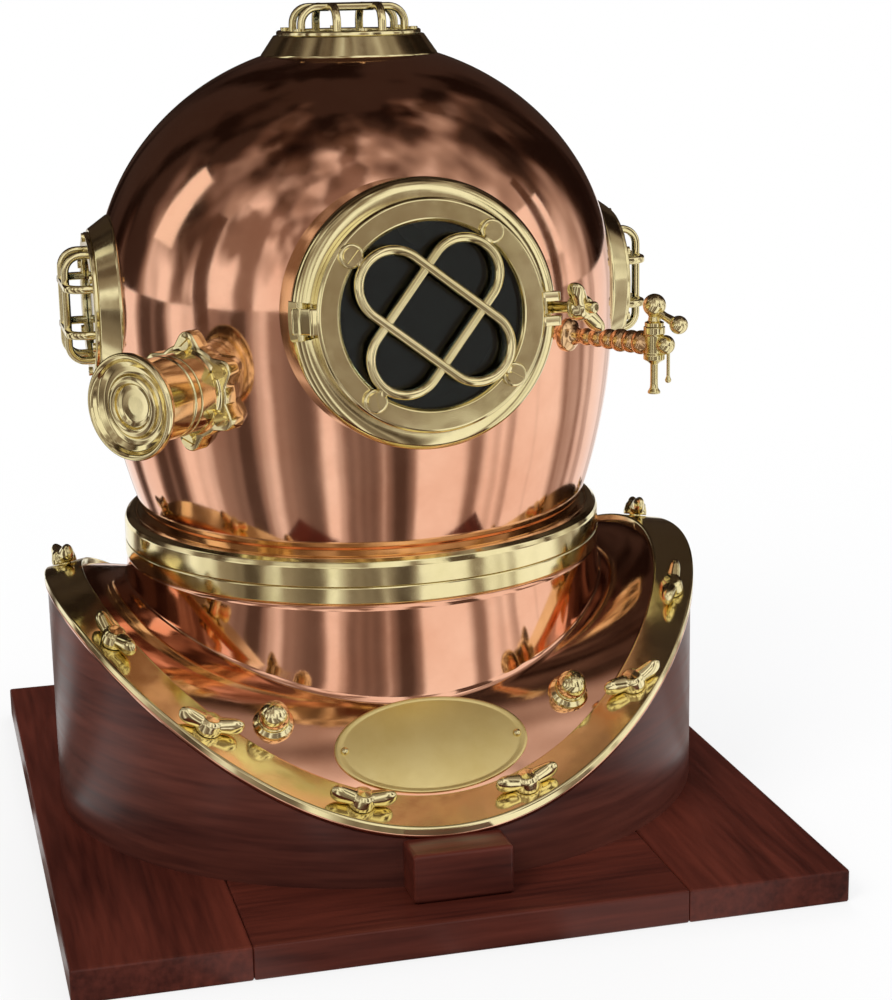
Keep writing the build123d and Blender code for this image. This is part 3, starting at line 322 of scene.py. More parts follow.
def strap_piece(name, start, end, shown_node):
    """Eased flat section carried along the margin from one shoulder to the other."""
    f = np.radians(np.linspace(start, end, 241))
    outer, inner = rim(f), strap_edge(f)
    across = inner - outer
    shares = np.array([0.0, 1.0, 1.0, 1.0, 0.985, 0.955, 0.94, 0.06, 0.045, 0.015, 0.0, 0.0])[None, :, None]
    lifts = np.array([0.05, 0.05, 2.8, 3.1, 3.7, 4.0, 4.0, 4.0, 4.0, 3.7, 3.1, 2.8])[None, :, None]
    rows = outer[:, None] + across[:, None] * shares + np.array([0, 0, 1]) * lifts
    ends = [np.broadcast_to(row.mean(0), row.shape)[None] for row in (rows[0], rows[-1])]
    rows = np.concatenate([ends[0], rows, ends[1]])
    return skin(name, rows, brass, "breastplate", [shown_node])


strap_piece("strap_front", -89.85, 89.85, "front_strap")
strap_piece("strap_back", 90.15, 269.85, "back_strap")

# Rim studs and wing nuts. Twelve brass studs stand in the margin; each carries a cast brass wing
# nut with two broad rounded wings, worn smooth by hands and left at its own angle.


def lathe(name, profile, place, finish, body, stands_for=(), ease=0.5, count=96, steps=3, sharp=38):
    """Profile of radius and height, eased at its corners, turned about the z axis of a place."""
    profile = np.asarray(profile, float)
    ring = profile[:, 0].min() > 1e-6
    profile = eased(profile, ease, steps, closed=ring)
    a = np.linspace(0, 2 * np.pi, count + 1)[:-1]
    local = [profile[:, :1] * np.cos(a), profile[:, :1] * np.sin(a), np.repeat(profile[:, 1:], count, 1)]
    return skin(name, at(np.stack(local, -1), place), finish, body, stands_for, sharp, loop=ring)


def at(points, place):
    """Points of a place's own axes, moved into the frame."""
    origin, x, y, z = place
    return origin + points[..., :1] * x + points[..., 1:2] * y + points[..., 2:] * z


def facing(origin, z, x=None):
    """Place whose z axis points along a direction, its x axis level unless given."""
    z = np.asarray(z, float) / np.linalg.norm(z)
    x = np.cross([0, 0, 1], z) if x is None else np.asarray(x, float)
    if np.linalg.norm(x) < 1e-6:
        x = np.array([1.0, 0, 0])
    x = x - z * np.dot(x, z)
    x /= np.linalg.norm(x)
    return np.asarray(origin, float), x, np.cross(z, x), z


def turned_by(place, angle):
    """The same place turned about its own z axis, in degrees."""
    origin, x, y, z = place
    a = np.radians(angle)
    return origin, x * np.cos(a) + y * np.sin(a), y * np.cos(a) - x * np.sin(a), z


def cast_nut():
    """One wing nut as a mesh: a domed hub and two flattened wings, blended by a fine remesh and smoothed."""
    sides, stations, tip_start = 48, 25, 0.58
    a = np.linspace(0, 2 * np.pi, sides + 1)[:-1]
    hub = np.array([(0, 0), (7.0, 0), (7.0, 2.2), (6.0, 6.4), (4.4, 8.2), (0, 8.6)])
    rings = [np.stack([hub[:, :1] * np.cos(a), hub[:, :1] * np.sin(a), np.repeat(hub[:, 1:], sides, 1)], -1)]
    u = np.linspace(0, 1, stations)[:, None]
    rounding = np.sqrt(np.clip(1 - ((u - tip_start) / (1 - tip_start)) ** 2, 0, 1))
    girth = np.where(u > tip_start, rounding, 1.0)
    thick, tall, middle = (4.6 - 1.6 * u) * girth, (3.6 + 2.4 * u) * girth, 4.0 + 2.6 * u
    for side in (-1, 1):
        reach = side * (1 + 16.6 * u)
        rings.append(np.stack([reach + 0 * a, thick * np.cos(a), middle + tall * np.sin(a)], -1))
    made = []
    for rows in rings:
        m, n = rows.shape[:2]
        i, j = np.arange(m - 1)[:, None], np.arange(n)[None, :]
        corners = (i * n + j, i * n + (j + 1) % n, (i + 1) * n + (j + 1) % n, (i + 1) * n + j)
        quads = np.stack([np.broadcast_to(corner, (m - 1, n)) for corner in corners], -1)
        made.append((rows.reshape(-1, 3), quads.reshape(-1, 4)))
    counts = np.cumsum([0] + [len(p) for p, _ in made])
    points = np.concatenate([p for p, _ in made]) * mm
    faces = np.concatenate([q + counts[k] for k, (_, q) in enumerate(made)])
    mesh = bpy.data.meshes.new("nut_blank")
    mesh.from_pydata(points.tolist(), [], faces.tolist())
    blank = bpy.data.objects.new("nut_blank", mesh)
    bpy.context.scene.collection.objects.link(blank)
    work = bmesh.new()
    work.from_mesh(mesh)
    bmesh.ops.remove_doubles(work, verts=work.verts, dist=weld / 2)
    bmesh.ops.holes_fill(work, edges=work.edges)
    bmesh.ops.recalc_face_normals(work, faces=work.faces)
    work.to_mesh(mesh)
    work.free()
    melt = blank.modifiers.new("melt", "REMESH")
    melt.mode = "VOXEL"
    melt.voxel_size = 0.00045
    soften = blank.modifiers.new("soften", "SMOOTH")
    soften.iterations = 5
    soften.factor = 0.5
    done = bpy.data.meshes.new_from_object(blank.evaluated_get(bpy.context.evaluated_depsgraph_get()))
    bpy.data.objects.remove(blank)
    return done


nut_mesh = cast_nut()
stud_angles = (14.5, 41.0, 63.0, 99.0, 130.0, 161.0)
nut_turns = (8.0, 14.0, 62.0, 80.0, 20.0, 50.0)
strap_thickness, nut_gap = 4, 0.4


def set_nut(name, place, lift, body, shown_node, size=1.0):
    """Copy of the cast nut seated at a place."""
    origin, x, y, z = place
    mesh = nut_mesh.copy()
    mesh.transform(Matrix([[*(size * np.array([x[k], y[k], z[k]])), (origin[k] + z[k] * lift) * mm]
                           for k in range(3)] + [[0, 0, 0, 1]]))
    mesh.shade_smooth()
    mesh.materials.clear()
    mesh.materials.append(brass)
    nut = bpy.data.objects.new(name, mesh)
    bpy.context.scene.collection.objects.link(nut)
    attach(nut, body)
    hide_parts(shown_node)


def strap_middle(f):
    """Middle of the strap's top face, halfway between its edges."""
    return (rim(f) + strap_edge(f)) / 2 + np.array([0, 0, strap_thickness])


stud = [(0, -6), (3.5, -6), (3.5, 6.6), (2.9, 7.3), (0, 7.3)]
for side, sign in (("right", 1), ("left", -1)):
    for k, (angle, twist) in enumerate(zip(stud_angles, nut_turns), 1):
        f = np.radians(sign * angle)
        place = facing(strap_middle(f), outward(strap_middle, f))
        lathe(f"stud_{side}_{k}", stud, place, brass, "breastplate", ["rim_studs"], count=32)
        set_nut(f"wing_{side}_{k}", turned_by(facing(place[0], place[3], (1, 0, 0)), sign * twist), nut_gap,
                f"wing_nut_{side}_{k}", f"wing_nut_{side}_{k}")

# Name plate and ball studs. The oval plate is bare brass sheet with a thin raised border and two
# rivets; a brass ball on a turned flange is riveted to the yoke each side of it.
plate_middle = slope(np.array(0.0), 0.5)
plate_out = outward(None, np.array(0.0), 0.5)
plate_up = np.cross(plate_out, (1, 0, 0))
plate_half_width, plate_half_height = 52, 27


def plate_point(x, y, lift):
    """Point of the yoke that seen square onto the plate lies x across and y up from its middle, lifted."""
    width_round, yoke_height = 150, 56
    f, share = x / width_round, 0.5 + y / yoke_height
    for _ in range(8):
        away = slope(f, share) - plate_middle
        f = f + (x - away[..., 0]) / width_round
        share = share + (y - away @ plate_up) / yoke_height
    return slope(f, share) + outward(None, f, share) * lift[..., None]


around = 240
a = np.linspace(0, 2 * np.pi, around + 1)[:-1]
reach_shares = np.array([0.0, 0.12, 0.25, 0.4, 0.55, 0.7, 0.80, 0.845, 0.853, 0.868, 0.876, 0.90, 0.915,
                         0.925, 0.965, 0.98, 0.995, 1.0, 1.0])[:, None]
lifts = np.concatenate([np.full(13, 1.0), [1.1, 1.5, 1.5, 1.3, 0.9, 0.0]])[:, None]
plate_brass = bright_metal("plate_brass", (0.97, 0.80, 0.36), (0.90, 0.72, 0.29), rough=(0.30, 0.42),
                           wave=0.012, scale=30, smear=2.5)
rows = plate_point(plate_half_width * reach_shares * np.cos(a), plate_half_height * reach_shares * np.sin(a),
                   lifts + 0 * a)
under = np.zeros((1, around))
rows = np.concatenate([rows, plate_point(under, under, under)])
skin("name_oval", rows, plate_brass, "breastplate", ["name_plate"], sharp=60)
ball_angle, ball_share, ball_radius, ball_height = 31, 0.38, 8, 8.5
cup = [(0, -2), (10.9, -2), (10.9, 0.9), (10.2, 2.2), (8.9, 3.6), (8.3, 4.3), (7.3, 4.2), (6.9, 4.5)]
arc = np.linspace(-0.30 * np.pi, 0.5 * np.pi, 28)[5:-1]
ball = [(ball_radius * np.cos(t), ball_height + ball_radius * np.sin(t)) for t in arc]
profile = cup + ball + [(0, ball_height + ball_radius)]
for side in (-1, 1):
    f = np.radians(ball_angle * side)
    place = facing(slope(f, ball_share), outward(None, f, ball_share))
    lathe(f"ball_{'right' if side > 0 else 'left'}", profile, place, brass, "breastplate", ["ball_studs"],
          ease=0.15, count=72)

# Neck joint. Two cast brass rings with an interrupted thread between them and a leather washer
# pinched where they meet; the upper one is brazed to the bonnet.
neck = facing((0, neck_back, 0), (0, 0, 1), (1, 0, 0))
leather = dull("neck_leather", (0.05, 0.024, 0.013), (0.02, 0.010, 0.006), 0.55, 220, 0.5)
lower_ring = [(127.6, 155), (134, 155), (134, 151.05), (137, 151.05), (137, 160.45), (127.6, 160.45)]
washer = [(128.8, 160.5), (135.8, 160.5), (135.8, 161.7), (128.8, 161.7)]
upper_ring = [(119, 149.6), (127, 149.6), (127, 161.75), (135.9, 161.75), (135.9, 160.6), (136.9, 160.6),
              (136.9, 171.0), (136.0, 173.6), (133.6, 175.5), (130.5, 175.5), (129.6, 174.6), (119, 174.6)]
lathe("collar_ring", lower_ring, neck, brass, "breastplate", ["corselet_ring"], ease=1.0, count=256)
lathe("neck_washer", washer, neck, leather, "breastplate", ["neck_gasket"], ease=0.2, count=256)
lathe("bonnet_foot_ring", upper_ring, neck, brass, "bonnet", ["bonnet_ring"], ease=0.5, count=256)

# Bonnet. A dome beaten and spun from one copper sheet, narrowing slightly to the neck ring, pierced
# for the ports and valves; its inside is painted near black as painted shade.
window_lean, port_height = np.radians(5.5), 297
window = facing((0, -148, 308.5), (0, -np.cos(window_lean), np.sin(window_lean)), (1, 0, 0))
dome_half_width, dome_widest, dome_rise = 146, 300, 136.5


def dome_radius(z):
    """Outer radius of the bonnet: a flattened half sphere above its widest line, a slow taper below."""
    skirt, taper, taper_power = 102.4, 13, 2.2
    up = dome_half_width * np.sqrt(np.clip(1 - ((z - dome_widest) / dome_rise) ** 2, 0, 1))
    fall = np.clip((dome_widest - z) / skirt, 0, None)
    return np.where(z >= dome_widest, up, dome_half_width - taper * fall**taper_power)


def on_dome(angle, z):
    """Place on the dome at an angle from the front and a height, looking level straight out."""
    a = np.radians(angle)
    away = np.array([np.sin(a), -np.cos(a), 0])
    origin = np.array([0, neck_back, z]) + away * dome_radius(np.array(float(z)))
    return facing(origin, away, (np.cos(a), np.sin(a), 0))


left_port, right_port = on_dome(-90, port_height), on_dome(90, port_height)
top_port = facing((0, neck_back, dome_widest + dome_rise), (0, 0, 1), (1, 0, 0))
exhaust, cock = on_dome(-48, 264), on_dome(38, 284)
dome_foot, around, bore_depth = 166.5, 384, 60
crown = dome_widest + dome_rise * np.sin(np.linspace(0, np.pi / 2, 110)[1:])
rise = np.concatenate([np.linspace(dome_foot, dome_widest, 60), crown])
a = np.linspace(0, 2 * np.pi, around + 1)[:-1]
r = dome_radius(rise)[:, None]
rows = np.stack([r * np.sin(a), neck_back - r * np.cos(a), np.repeat(rise[:, None], around, 1)], -1)
dome = skin("dome", rows, copper, "bonnet", ["bonnet_shell"], sharp=180)
work = bmesh.new()
work.from_mesh(dome.data)
middles = np.array([face.calc_center_median()[:] for face in work.faces]) / mm
gone = np.zeros(len(middles), bool)
openings = ((window, 50), (left_port, 36), (right_port, 36), (top_port, 36), (exhaust, 18))
for (origin, x, y, z), bore in openings:
    away = middles - origin
    gone |= (np.hypot(away @ x, away @ y) < bore) & (np.abs(away @ z) < bore_depth)
work.faces.ensure_lookup_table()
bmesh.ops.delete(work, geom=[work.faces[k] for k in np.flatnonzero(gone)], context="FACES")
work.to_mesh(dome.data)
work.free()
# The dome's inside gets the near-black painted shade.
walled(dome, sheet, inside_shade)

# Front port. A broad cast brass seat brazed to the dome, rounded on its outer shoulder and cut away
# at the left for the hinge and at the right for the latch.
seat_radius, shoulder_radius, shoulder_round, seat_bore, seat_face, seat_back = 68, 60, 7, 46, -8.3, -46
around = 720
a = np.linspace(0, 2 * np.pi, around + 1)[:-1]
shoulder = [(shoulder_radius + (seat_radius - shoulder_radius) * np.sin(t),
             seat_face + shoulder_round * (np.cos(t) - 1)) for t in np.linspace(0, np.pi / 2, 9)]
profile = [(seat_bore, seat_back), (seat_bore, seat_face), (47, seat_face), (59, seat_face)] + shoulder
profile = eased(profile + [(seat_radius, -22), (seat_radius, seat_back)], 0.8, 3)
radius, height = np.repeat(profile[:, :1], around, 1), np.repeat(profile[:, 1:], around, 1)
hinge_flat, latch_flat, hinge_half, latch_half, hinge_depth, latch_depth = 56.6, 56.1, 10, 4, -20, -22
hinge_cut = (np.cos(a) < 0) & (np.abs(seat_radius * np.sin(a)) < hinge_half)
latch_cut = (np.cos(a) > 0) & (np.abs(seat_radius * np.sin(a)) < latch_half)
for cut, flat, depth in ((hinge_cut, hinge_flat, hinge_depth), (latch_cut, latch_flat, latch_depth)):
    radius = np.where(cut & (height > depth) & (radius > flat), flat / np.abs(np.cos(a)), radius)
rows = np.stack([radius * np.cos(a), radius * np.sin(a), height], -1)
skin("front_seat", at(rows, window), brass, "bonnet", ["front_port_seat"], loop=True,
     sharp=45)

# Side and top ports. Each has a brass flange brazed to the dome, a thick glass let into it, and a
# cast cage of four bent bars on a ring held by six slotted screws.


def bar_path(half, low, high, bend, count=9):
    """Bent bar's centre line: up, round a corner, across, round the other corner and down."""
    t = np.linspace(0, np.pi / 2, count)
    right = np.column_stack([half - bend + bend * np.cos(t), high - bend + bend * np.sin(t)])
    left = np.column_stack([-half + bend - bend * np.sin(t), high - bend + bend * np.cos(t)])
    return np.concatenate([[(half, low)], right, left, [(-half, low)]])


def bar(name, path, wide, deep, place, finish, body, power=3.2):
    """Section with rounded corners carried along a path in a place's x z plane, closed at its ends."""
    step = np.gradient(path, axis=0)
    step /= np.linalg.norm(step, axis=1, keepdims=True)
    a = np.linspace(0, 2 * np.pi, 25)[:-1]
    c, s = np.cos(a), np.sin(a)
    across = np.sign(c) * np.abs(c) ** (2 / power) * wide / 2
    out = np.sign(s) * np.abs(s) ** (2 / power) * deep / 2
    rows = np.stack([path[:, :1] - step[:, 1:] * out, 0 * path[:, :1] + across,
                     path[:, 1:] + step[:, :1] * out], -1)
    ends = [np.broadcast_to(row.mean(0), row.shape)[None] for row in (rows[0], rows[-1])]
    rows = at(np.concatenate([ends[0], rows, ends[1]]), place)
    return skin(name, rows, finish, body, sharp=50)


clear_glass, tree, surface = shader("port_glass")
place_node = node(tree, "TexCoord")
smear = node(tree, "TexNoise", Scale=40, Detail=5)
gloss = node(tree, "MapRange", From_Min=0.4, To_Min=0.01, To_Max=0.07)
wire(tree, (place_node, "Object", smear, "Vector"), (smear, "Fac", gloss, "Value"),
     (gloss, "Result", surface, "Roughness"))
surface.inputs["Base Color"].default_value = (0.35, 0.42, 0.40, 1)
surface.inputs["Transmission Weight"].default_value = 1.0
surface.inputs["IOR"].default_value = 1.45
flange = [(30, -11), (49, -11), (49, -7.6), (41.6, 3), (34.05, 3), (34.05, -1), (30, -1)]
cage_ring = [(30.2, 3.02), (40, 3.02), (40, 4.9), (39.2, 5.6), (30.9, 5.6), (30.2, 4.9)]
cage_radius, bar_shift, bar_foot, bar_top, bar_bend, bar_wide, bar_deep = 31.5, 12.5, 4.2, 17.9, 9.0, 4.4, 4.2
path = bar_path(np.sqrt(cage_radius**2 - bar_shift**2), bar_foot, bar_top, bar_bend)
for side, place in (("left", left_port), ("right", right_port), ("top", top_port)):
    lathe(f"{side}_flange", flange, place, brass, "bonnet", [f"{side}_port_flange"], ease=0.7, count=144)
    lathe(f"{side}_cage_ring", cage_ring, place, brass, "bonnet", [f"{side}_port_guard"], ease=0.4, count=120)
    origin, x, y, z = place
    for k, shift in enumerate((-bar_shift, bar_shift)):
        pair = ((k, (origin + y * shift, x, y, z)), (k + 2, (origin + x * shift, y, -x, z)))
        for number, bar_place in pair:
            bar(f"{side}_cage_bar_{number}", path, bar_wide, bar_deep, bar_place, brass, "bonnet")
    for slot_place in nodes[f"{side}_port_glass"].material_slots:
        slot_place.material = clear_glass

# Front door. A turned brass ring hung on a knuckle at the left, with the window glass sealed in it,
# and a slotted lug at the right for the latch bolt.
door = [(46, -1), (48.4, -1), (48.4, -8), (53.2, -8), (53.2, -6.5), (56.6, -6.5), (56.6, -8), (58, -8),
        (58, 0.6), (56.6, 2), (47.4, 2), (46, 0.6)]
lathe("door_rim", door, window, brass, "front_door", ["door_ring"], ease=0.5, count=192)


def block(name, outline, thickness, place, finish, body, ease=0.8):
    """Outline in a place's x z plane with its corners eased, given a thickness along y and eased edges."""
    shape = eased(outline, ease * 1.6)
    centre = shape.mean(0)
    rows = []
    for share, y in ((0.0, -0.5), (0.93, -0.5), (0.985, -0.47), (1.0, -0.42), (1.0, 0.42), (0.985, 0.47),
                     (0.93, 0.5), (0.0, 0.5)):
        ring = centre + (shape - centre) * share
        rows.append(np.column_stack([ring[:, 0], np.full(len(ring), y * thickness), ring[:, 1]]))
    return skin(name, at(np.array(rows), place), finish, body, sharp=50)


knuckle = [(-56.5, 1.2), (-60.5, -1.0), (-64.5, -8.4), (-68.0, -12.5), (-67.2, -17.2), (-62.5, -19.4),
           (-57.8, -16.6), (-57.0, -12.0), (-57.3, -7.0)]
knuckle_length, cheek_shift, cheek_thickness = 13, 6.1, 4.8
cheek = [(56.4, -8), (66, -8), (66, 2), (56.4, 2)]
block("door_knuckle", knuckle, knuckle_length, window, brass, "front_door")
origin, x, y, z = window
for k, side in enumerate((-1, 1)):
    shifted = (origin + y * side * cheek_shift, x, y, z)
    block(f"latch_cheek_{k}", cheek, cheek_thickness, shifted, brass, "front_door", ease=0.9)

# Door guard. Two round-ended loops of drawn brass rod laid crosswise and brazed, standing on four
# screwed feet round the glass.
loop_half_length, loop_half_width, rod_radius, rod_level, crossing_lift = 25.5, 17.5, 2.55, 6.6, 0.8


def rod_loop(angle, count=240):
    """Round-ended loop as a path: two straight sides and two half circles, in the window's own plane."""
    straight, bend = 2 * loop_half_length, np.pi * loop_half_width
    s = np.linspace(0, 1, count + 1)[:-1] * 2 * (straight + bend)
    runs = [s < straight, (s >= straight) & (s < straight + bend), s < 2 * straight + bend]
    turn_a, turn_b = (s - straight) / loop_half_width, (s - 2 * straight - bend) / loop_half_width
    px = [s - loop_half_length, loop_half_length + loop_half_width * np.sin(turn_a),
          loop_half_length - (s - straight - bend)]
    py = [0 * s - loop_half_width, -loop_half_width * np.cos(turn_a), 0 * s + loop_half_width]
    px = np.select(runs, px, -loop_half_length - loop_half_width * np.sin(turn_b))
    py = np.select(runs, py, loop_half_width * np.cos(turn_b))
    c, n = np.cos(np.radians(angle)), np.sin(np.radians(angle))
    return np.column_stack([px * c - py * n, px * n + py * c])


guard_angle = 52
a = np.linspace(0, 2 * np.pi, 21)[:-1]
across, up = rod_radius * np.cos(a), rod_radius * np.sin(a)
for k in range(2):
    line = rod_loop(guard_angle + 90 * k)
    step = np.roll(line, -1, 0) - np.roll(line, 1, 0)
    step /= np.linalg.norm(step, axis=1, keepdims=True)
    level = rod_level + crossing_lift * k
    rows = np.stack([line[:, :1] - step[:, 1:] * across, line[:, 1:] + step[:, :1] * across,
                     level + up + 0 * line[:, :1]], -1)
    skin(f"guard_loop_{k}", at(rows, window), brass, "front_door", ["door_guard"] if k == 0 else [],
         loop=True)
foot_radius, neck_start, neck_reach, neck_top, neck_fall = 50.6, 43.0, 5.0, 7.0, 3.2
foot_pad = [(0, 2.02), (6.2, 2.02), (6.2, 4.4), (5.4, 5.0), (0, 5.0)]
t = np.linspace(0, 1, 12)
reach = np.column_stack([neck_start + neck_reach * t, neck_top - neck_fall * t**2])
for k in range(4):
    angle = np.radians(guard_angle + 90 * k)
    c, n = np.cos(angle), np.sin(angle)
    origin, x, y, z = window
    foot = (origin + x * foot_radius * c + y * foot_radius * n, x, y, z)
    lathe(f"guard_foot_{k}", foot_pad, foot, brass, "front_door", count=48)
    bar(f"guard_neck_{k}", reach, 5.0, 3.4, (origin, x * c + y * n, y * c - x * n, z), brass, "front_door")

# Exhaust valve. A cast brass body on a scalloped flange with six screws, and a turned hand wheel
# with a flared lip, a dished face and a raised inner ring.
around, lobe_place, lobe_radius, flange_radius, flange_bore = 360, 25.4, 6.4, 25.0, 12.0
a = np.linspace(0, 2 * np.pi, around + 1)[:-1]
spread = np.cos((a[:, None] - np.radians(30 + 60 * np.arange(6))))
inside = lobe_radius**2 - lobe_place**2 * (1 - spread**2)
lobe = lobe_place * spread + np.sqrt(np.clip(inside, 0, None))
lobe = np.where((spread > 0) & (inside > 0), lobe, 0).max(1)
outline = np.maximum(flange_radius, lobe)
blend_width = 13
half = blend_width // 2
outline = np.concatenate([outline[-half:], outline, outline[:half]])
outline = np.convolve(outline, np.ones(blend_width) / blend_width, "valid")
bore = np.full(around, flange_bore)
edges = [(bore, -9), (outline, -9), (outline, 4.8), (outline - 0.45, 5.7), (outline - 1.2, 6.0), (bore, 6.0)]
rows = [np.stack([reach * np.cos(a), reach * np.sin(a), np.full(around, float(height))], -1)
        for reach, height in edges]
skin("valve_flange", at(np.array(rows), exhaust), brass, "bonnet", ["exhaust_body"], loop=True,
     sharp=45)
barrel = [(16.4, 6), (23.2, 6), (21.9, 7.6), (21.5, 9), (21.5, 20), (18.5, 20), (18.5, 40), (16.4, 40)]
lathe("valve_barrel", barrel, exhaust, brass, "bonnet", ease=0.7, count=120)
wheel = [(0, 42.6), (18.55, 42.6), (18.55, 20.6), (21.5, 20.6), (21.5, 24.4), (20.9, 25.0), (20.9, 26.2),
         (21.5, 26.8), (21.5, 42.0), (22.6, 44.6), (25.0, 46.8), (27.2, 48.2), (27.6, 50.4), (26.9, 52.2),
         (25.6, 52.5), (24.4, 51.6), (22.9, 49.2), (20.0, 47.4), (17.6, 46.9), (16.3, 47.4), (15.5, 49.6),
         (13.5, 50.1), (11.8, 49.6), (11.0, 47.4), (8.6, 46.5), (5.0, 46.2), (0, 46.2)]
lathe("valve_wheel", wheel, exhaust, brass, "exhaust_knob", ["exhaust_knob"], ease=0.55, count=144)

# Spitcock. A small turned cock on a beaded bronze stem, with a brass barrel, a plug whose lever ends
# in two balls, and a spout with a flared lip.
barrel_place = 53.5
beads = [(0, -3), (9, -3), (9, 1.6), (7.6, 2.8), (5.2, 4.2), (4.1, 6.6)]
bead_shape = ((0.84, -3.1), (0.95, -1.9), (1, -0.6), (1, 0.6), (0.95, 1.9), (0.84, 3.1))
for along, size in zip((12, 19, 26, 33, 39.5, 45.5), (4.6, 4.9, 5.4, 6.1, 6.0, 6.3)):
    beads += [(size * share, along + shift) for share, shift in bead_shape]
beads += [(4.4, 50.6), (4.4, barrel_place), (0, barrel_place)]
bronze = bright_metal("cast_bronze", (0.90, 0.60, 0.32), (0.74, 0.44, 0.22), rough=(0.12, 0.24), wave=0.05,
                      scale=30)
lathe("cock_stem", beads, cock, bronze, "bonnet", ["spitcock_body"], ease=0.9, count=48)
origin, x, y, z = cock
upright = (origin + z * barrel_place, x, -z, y)
barrel = [(0, -26), (3.3, -26), (3.3, -25.0), (2.2, -23.2), (2.0, -21), (2.0, -10.5), (3.4, -9.4), (5.6, -8),
          (5.6, -5.4), (5.0, -4.6), (5.0, 4.6), (5.6, 5.4), (5.6, 9), (0, 9)]
lathe("cock_barrel", barrel, upright, brass, "bonnet", ease=0.4, count=64)
t = np.linspace(-np.pi / 2, np.pi / 2, 25)


def knob(radius, centre, first):
    """Profile of a ball on a neck, from the given step of the half turn up to its pole."""
    return [(radius * np.cos(v), centre + radius * np.sin(v)) for v in t[first:-1]] + [(0, centre + radius)]


end_ball = [(0, 50), (3.4, 50), (3.4, 56)] + knob(5.1, 60.1, 8)
lathe("cock_end_ball", end_ball, cock, brass, "bonnet", ease=0.1, count=48)
drip_place = 8.5
pin = [(0, -19.8), (1.2, -19.4), (1.7, -18.2), (1.2, -16.9), (0.9, -16), (0.9, 0), (0, 0)]
lathe("cock_drip_pin", pin, (upright[0] + z * drip_place, *upright[1:]), brass, "bonnet", ease=0.3, count=24)
plug = [(0, 9.1), (2.9, 9.1), (2.9, 9.3), (5.0, 9.3), (5.0, 11.2), (3.4, 12.0), (3.0, 14.2)] + knob(6, 20, 5)
lathe("plug_knob", plug, upright, brass, "spitcock_plug", ["spitcock_plug"], ease=0.2, count=56)
lever_root, lever_out, lever_up, lever_radius, lever_waist, lever_ball = 17.5, 14.6, 11, 2.5, 2.1, 4.8
lever_start, lever_end = upright[0] + y * lever_root, upright[0] + z * lever_out + y * lever_up
reach = np.linalg.norm(lever_end - lever_start)
arm = [(0, 0), (lever_radius, 0), (lever_waist, reach * 0.45), (lever_radius, reach - 4.2)]
arm += knob(lever_ball, reach, 4)
lever = facing(lever_start, lever_end - lever_start)
lathe("plug_lever", arm, lever, brass, "spitcock_plug", ease=0.2, count=48)

# Latch. A swing bolt pivoted in the front port's seat, with a turned washer and a wing nut smaller
# than those of the rim.
lean, pivot_out, pivot_back, nut_lift, nut_turn, nut_size = np.radians(36), 62, 16, 20.85, -49, 0.96
origin, x, y, z = window
pivot = origin + x * pivot_out - z * pivot_back
along, side = z * np.cos(lean) + x * np.sin(lean), x * np.cos(lean) - z * np.sin(lean)
bolt = facing(pivot, along, side)
shank = [(0, 3.0), (2.6, 3.4), (3.0, 5.0), (3.0, 32.2), (2.2, 33.0), (0, 33.0)]
eye = [(2.35, -3.5), (5.5, -3.5), (5.5, 3.5), (2.35, 3.5)]
bolt_washer = [(3.06, 19.3), (6.5, 19.3), (6.5, 20.8), (3.06, 20.8)]
lathe("bolt_shank", shank, bolt, brass, "latch_bolt", ["swing_bolt"], count=40)
lathe("bolt_eye", eye, facing(pivot, y, x), brass, "latch_bolt", count=48)
lathe("bolt_washer", bolt_washer, bolt, brass, "latch_bolt", ["latch_washer"], ease=0.4, count=64)
set_nut("latch_wings", turned_by(bolt, nut_turn), nut_lift, "latch_nut", "latch_wing_nut", nut_size)

# Back elbows. The air inlet and the telephone lead leave the bonnet through short brass elbows that
# turn down, each closed by a fluted cap.
elbow_height, tube_radius, bend_start, bend_radius, tube_end = 322, 9, 10, 15, 23
flute_count, cap_radius, flute_depth, flute_width = 12, 12.5, 1.25, 0.16
elbow_flange = [(6, -9), (17, -9), (17, 2.6), (15.8, 4.0), (10.4, 4.4), (9.4, 5.4), (6, 5.4)]
union = [(6, 0), (11, 0), (11, 4), (6, 4)]
bend = np.linspace(0, np.pi / 2, 17)
bend_end = bend_start + bend_radius
line = np.column_stack([np.concatenate([[0, 5], bend_start + bend_radius * np.sin(bend), [bend_end]]),
                        np.concatenate([[0, 0], -bend_radius + bend_radius * np.cos(bend), [-tube_end]])])
step = np.gradient(line, axis=0)
step /= np.linalg.norm(step, axis=1, keepdims=True)
a = np.linspace(0, 2 * np.pi, 49)[:-1]
tube = np.stack([tube_radius * np.sin(a) + 0 * line[:, :1],
                 line[:, 1:] + step[:, :1] * tube_radius * np.cos(a),
                 line[:, :1] - step[:, 1:] * tube_radius * np.cos(a)], -1)
a = np.linspace(0, 2 * np.pi, 289)[:-1]
flutes = np.exp(-((np.mod(a * flute_count / (2 * np.pi), 1) - 0.5) / flute_width) ** 2)
flutes = cap_radius - flute_depth * flutes
levels = ((0 * a, 4.1), (9 + 0 * a, 4.1), (flutes - 0.9, 4.1), (flutes, 5.0), (flutes, 14.6),
          (flutes - 0.5, 16.4), (flutes - 1.8, 17.0), (0 * a, 17.0))
cap = [np.stack([reach * np.cos(a), reach * np.sin(a), height + 0 * a], -1) for reach, height in levels]
cap = np.array(cap)
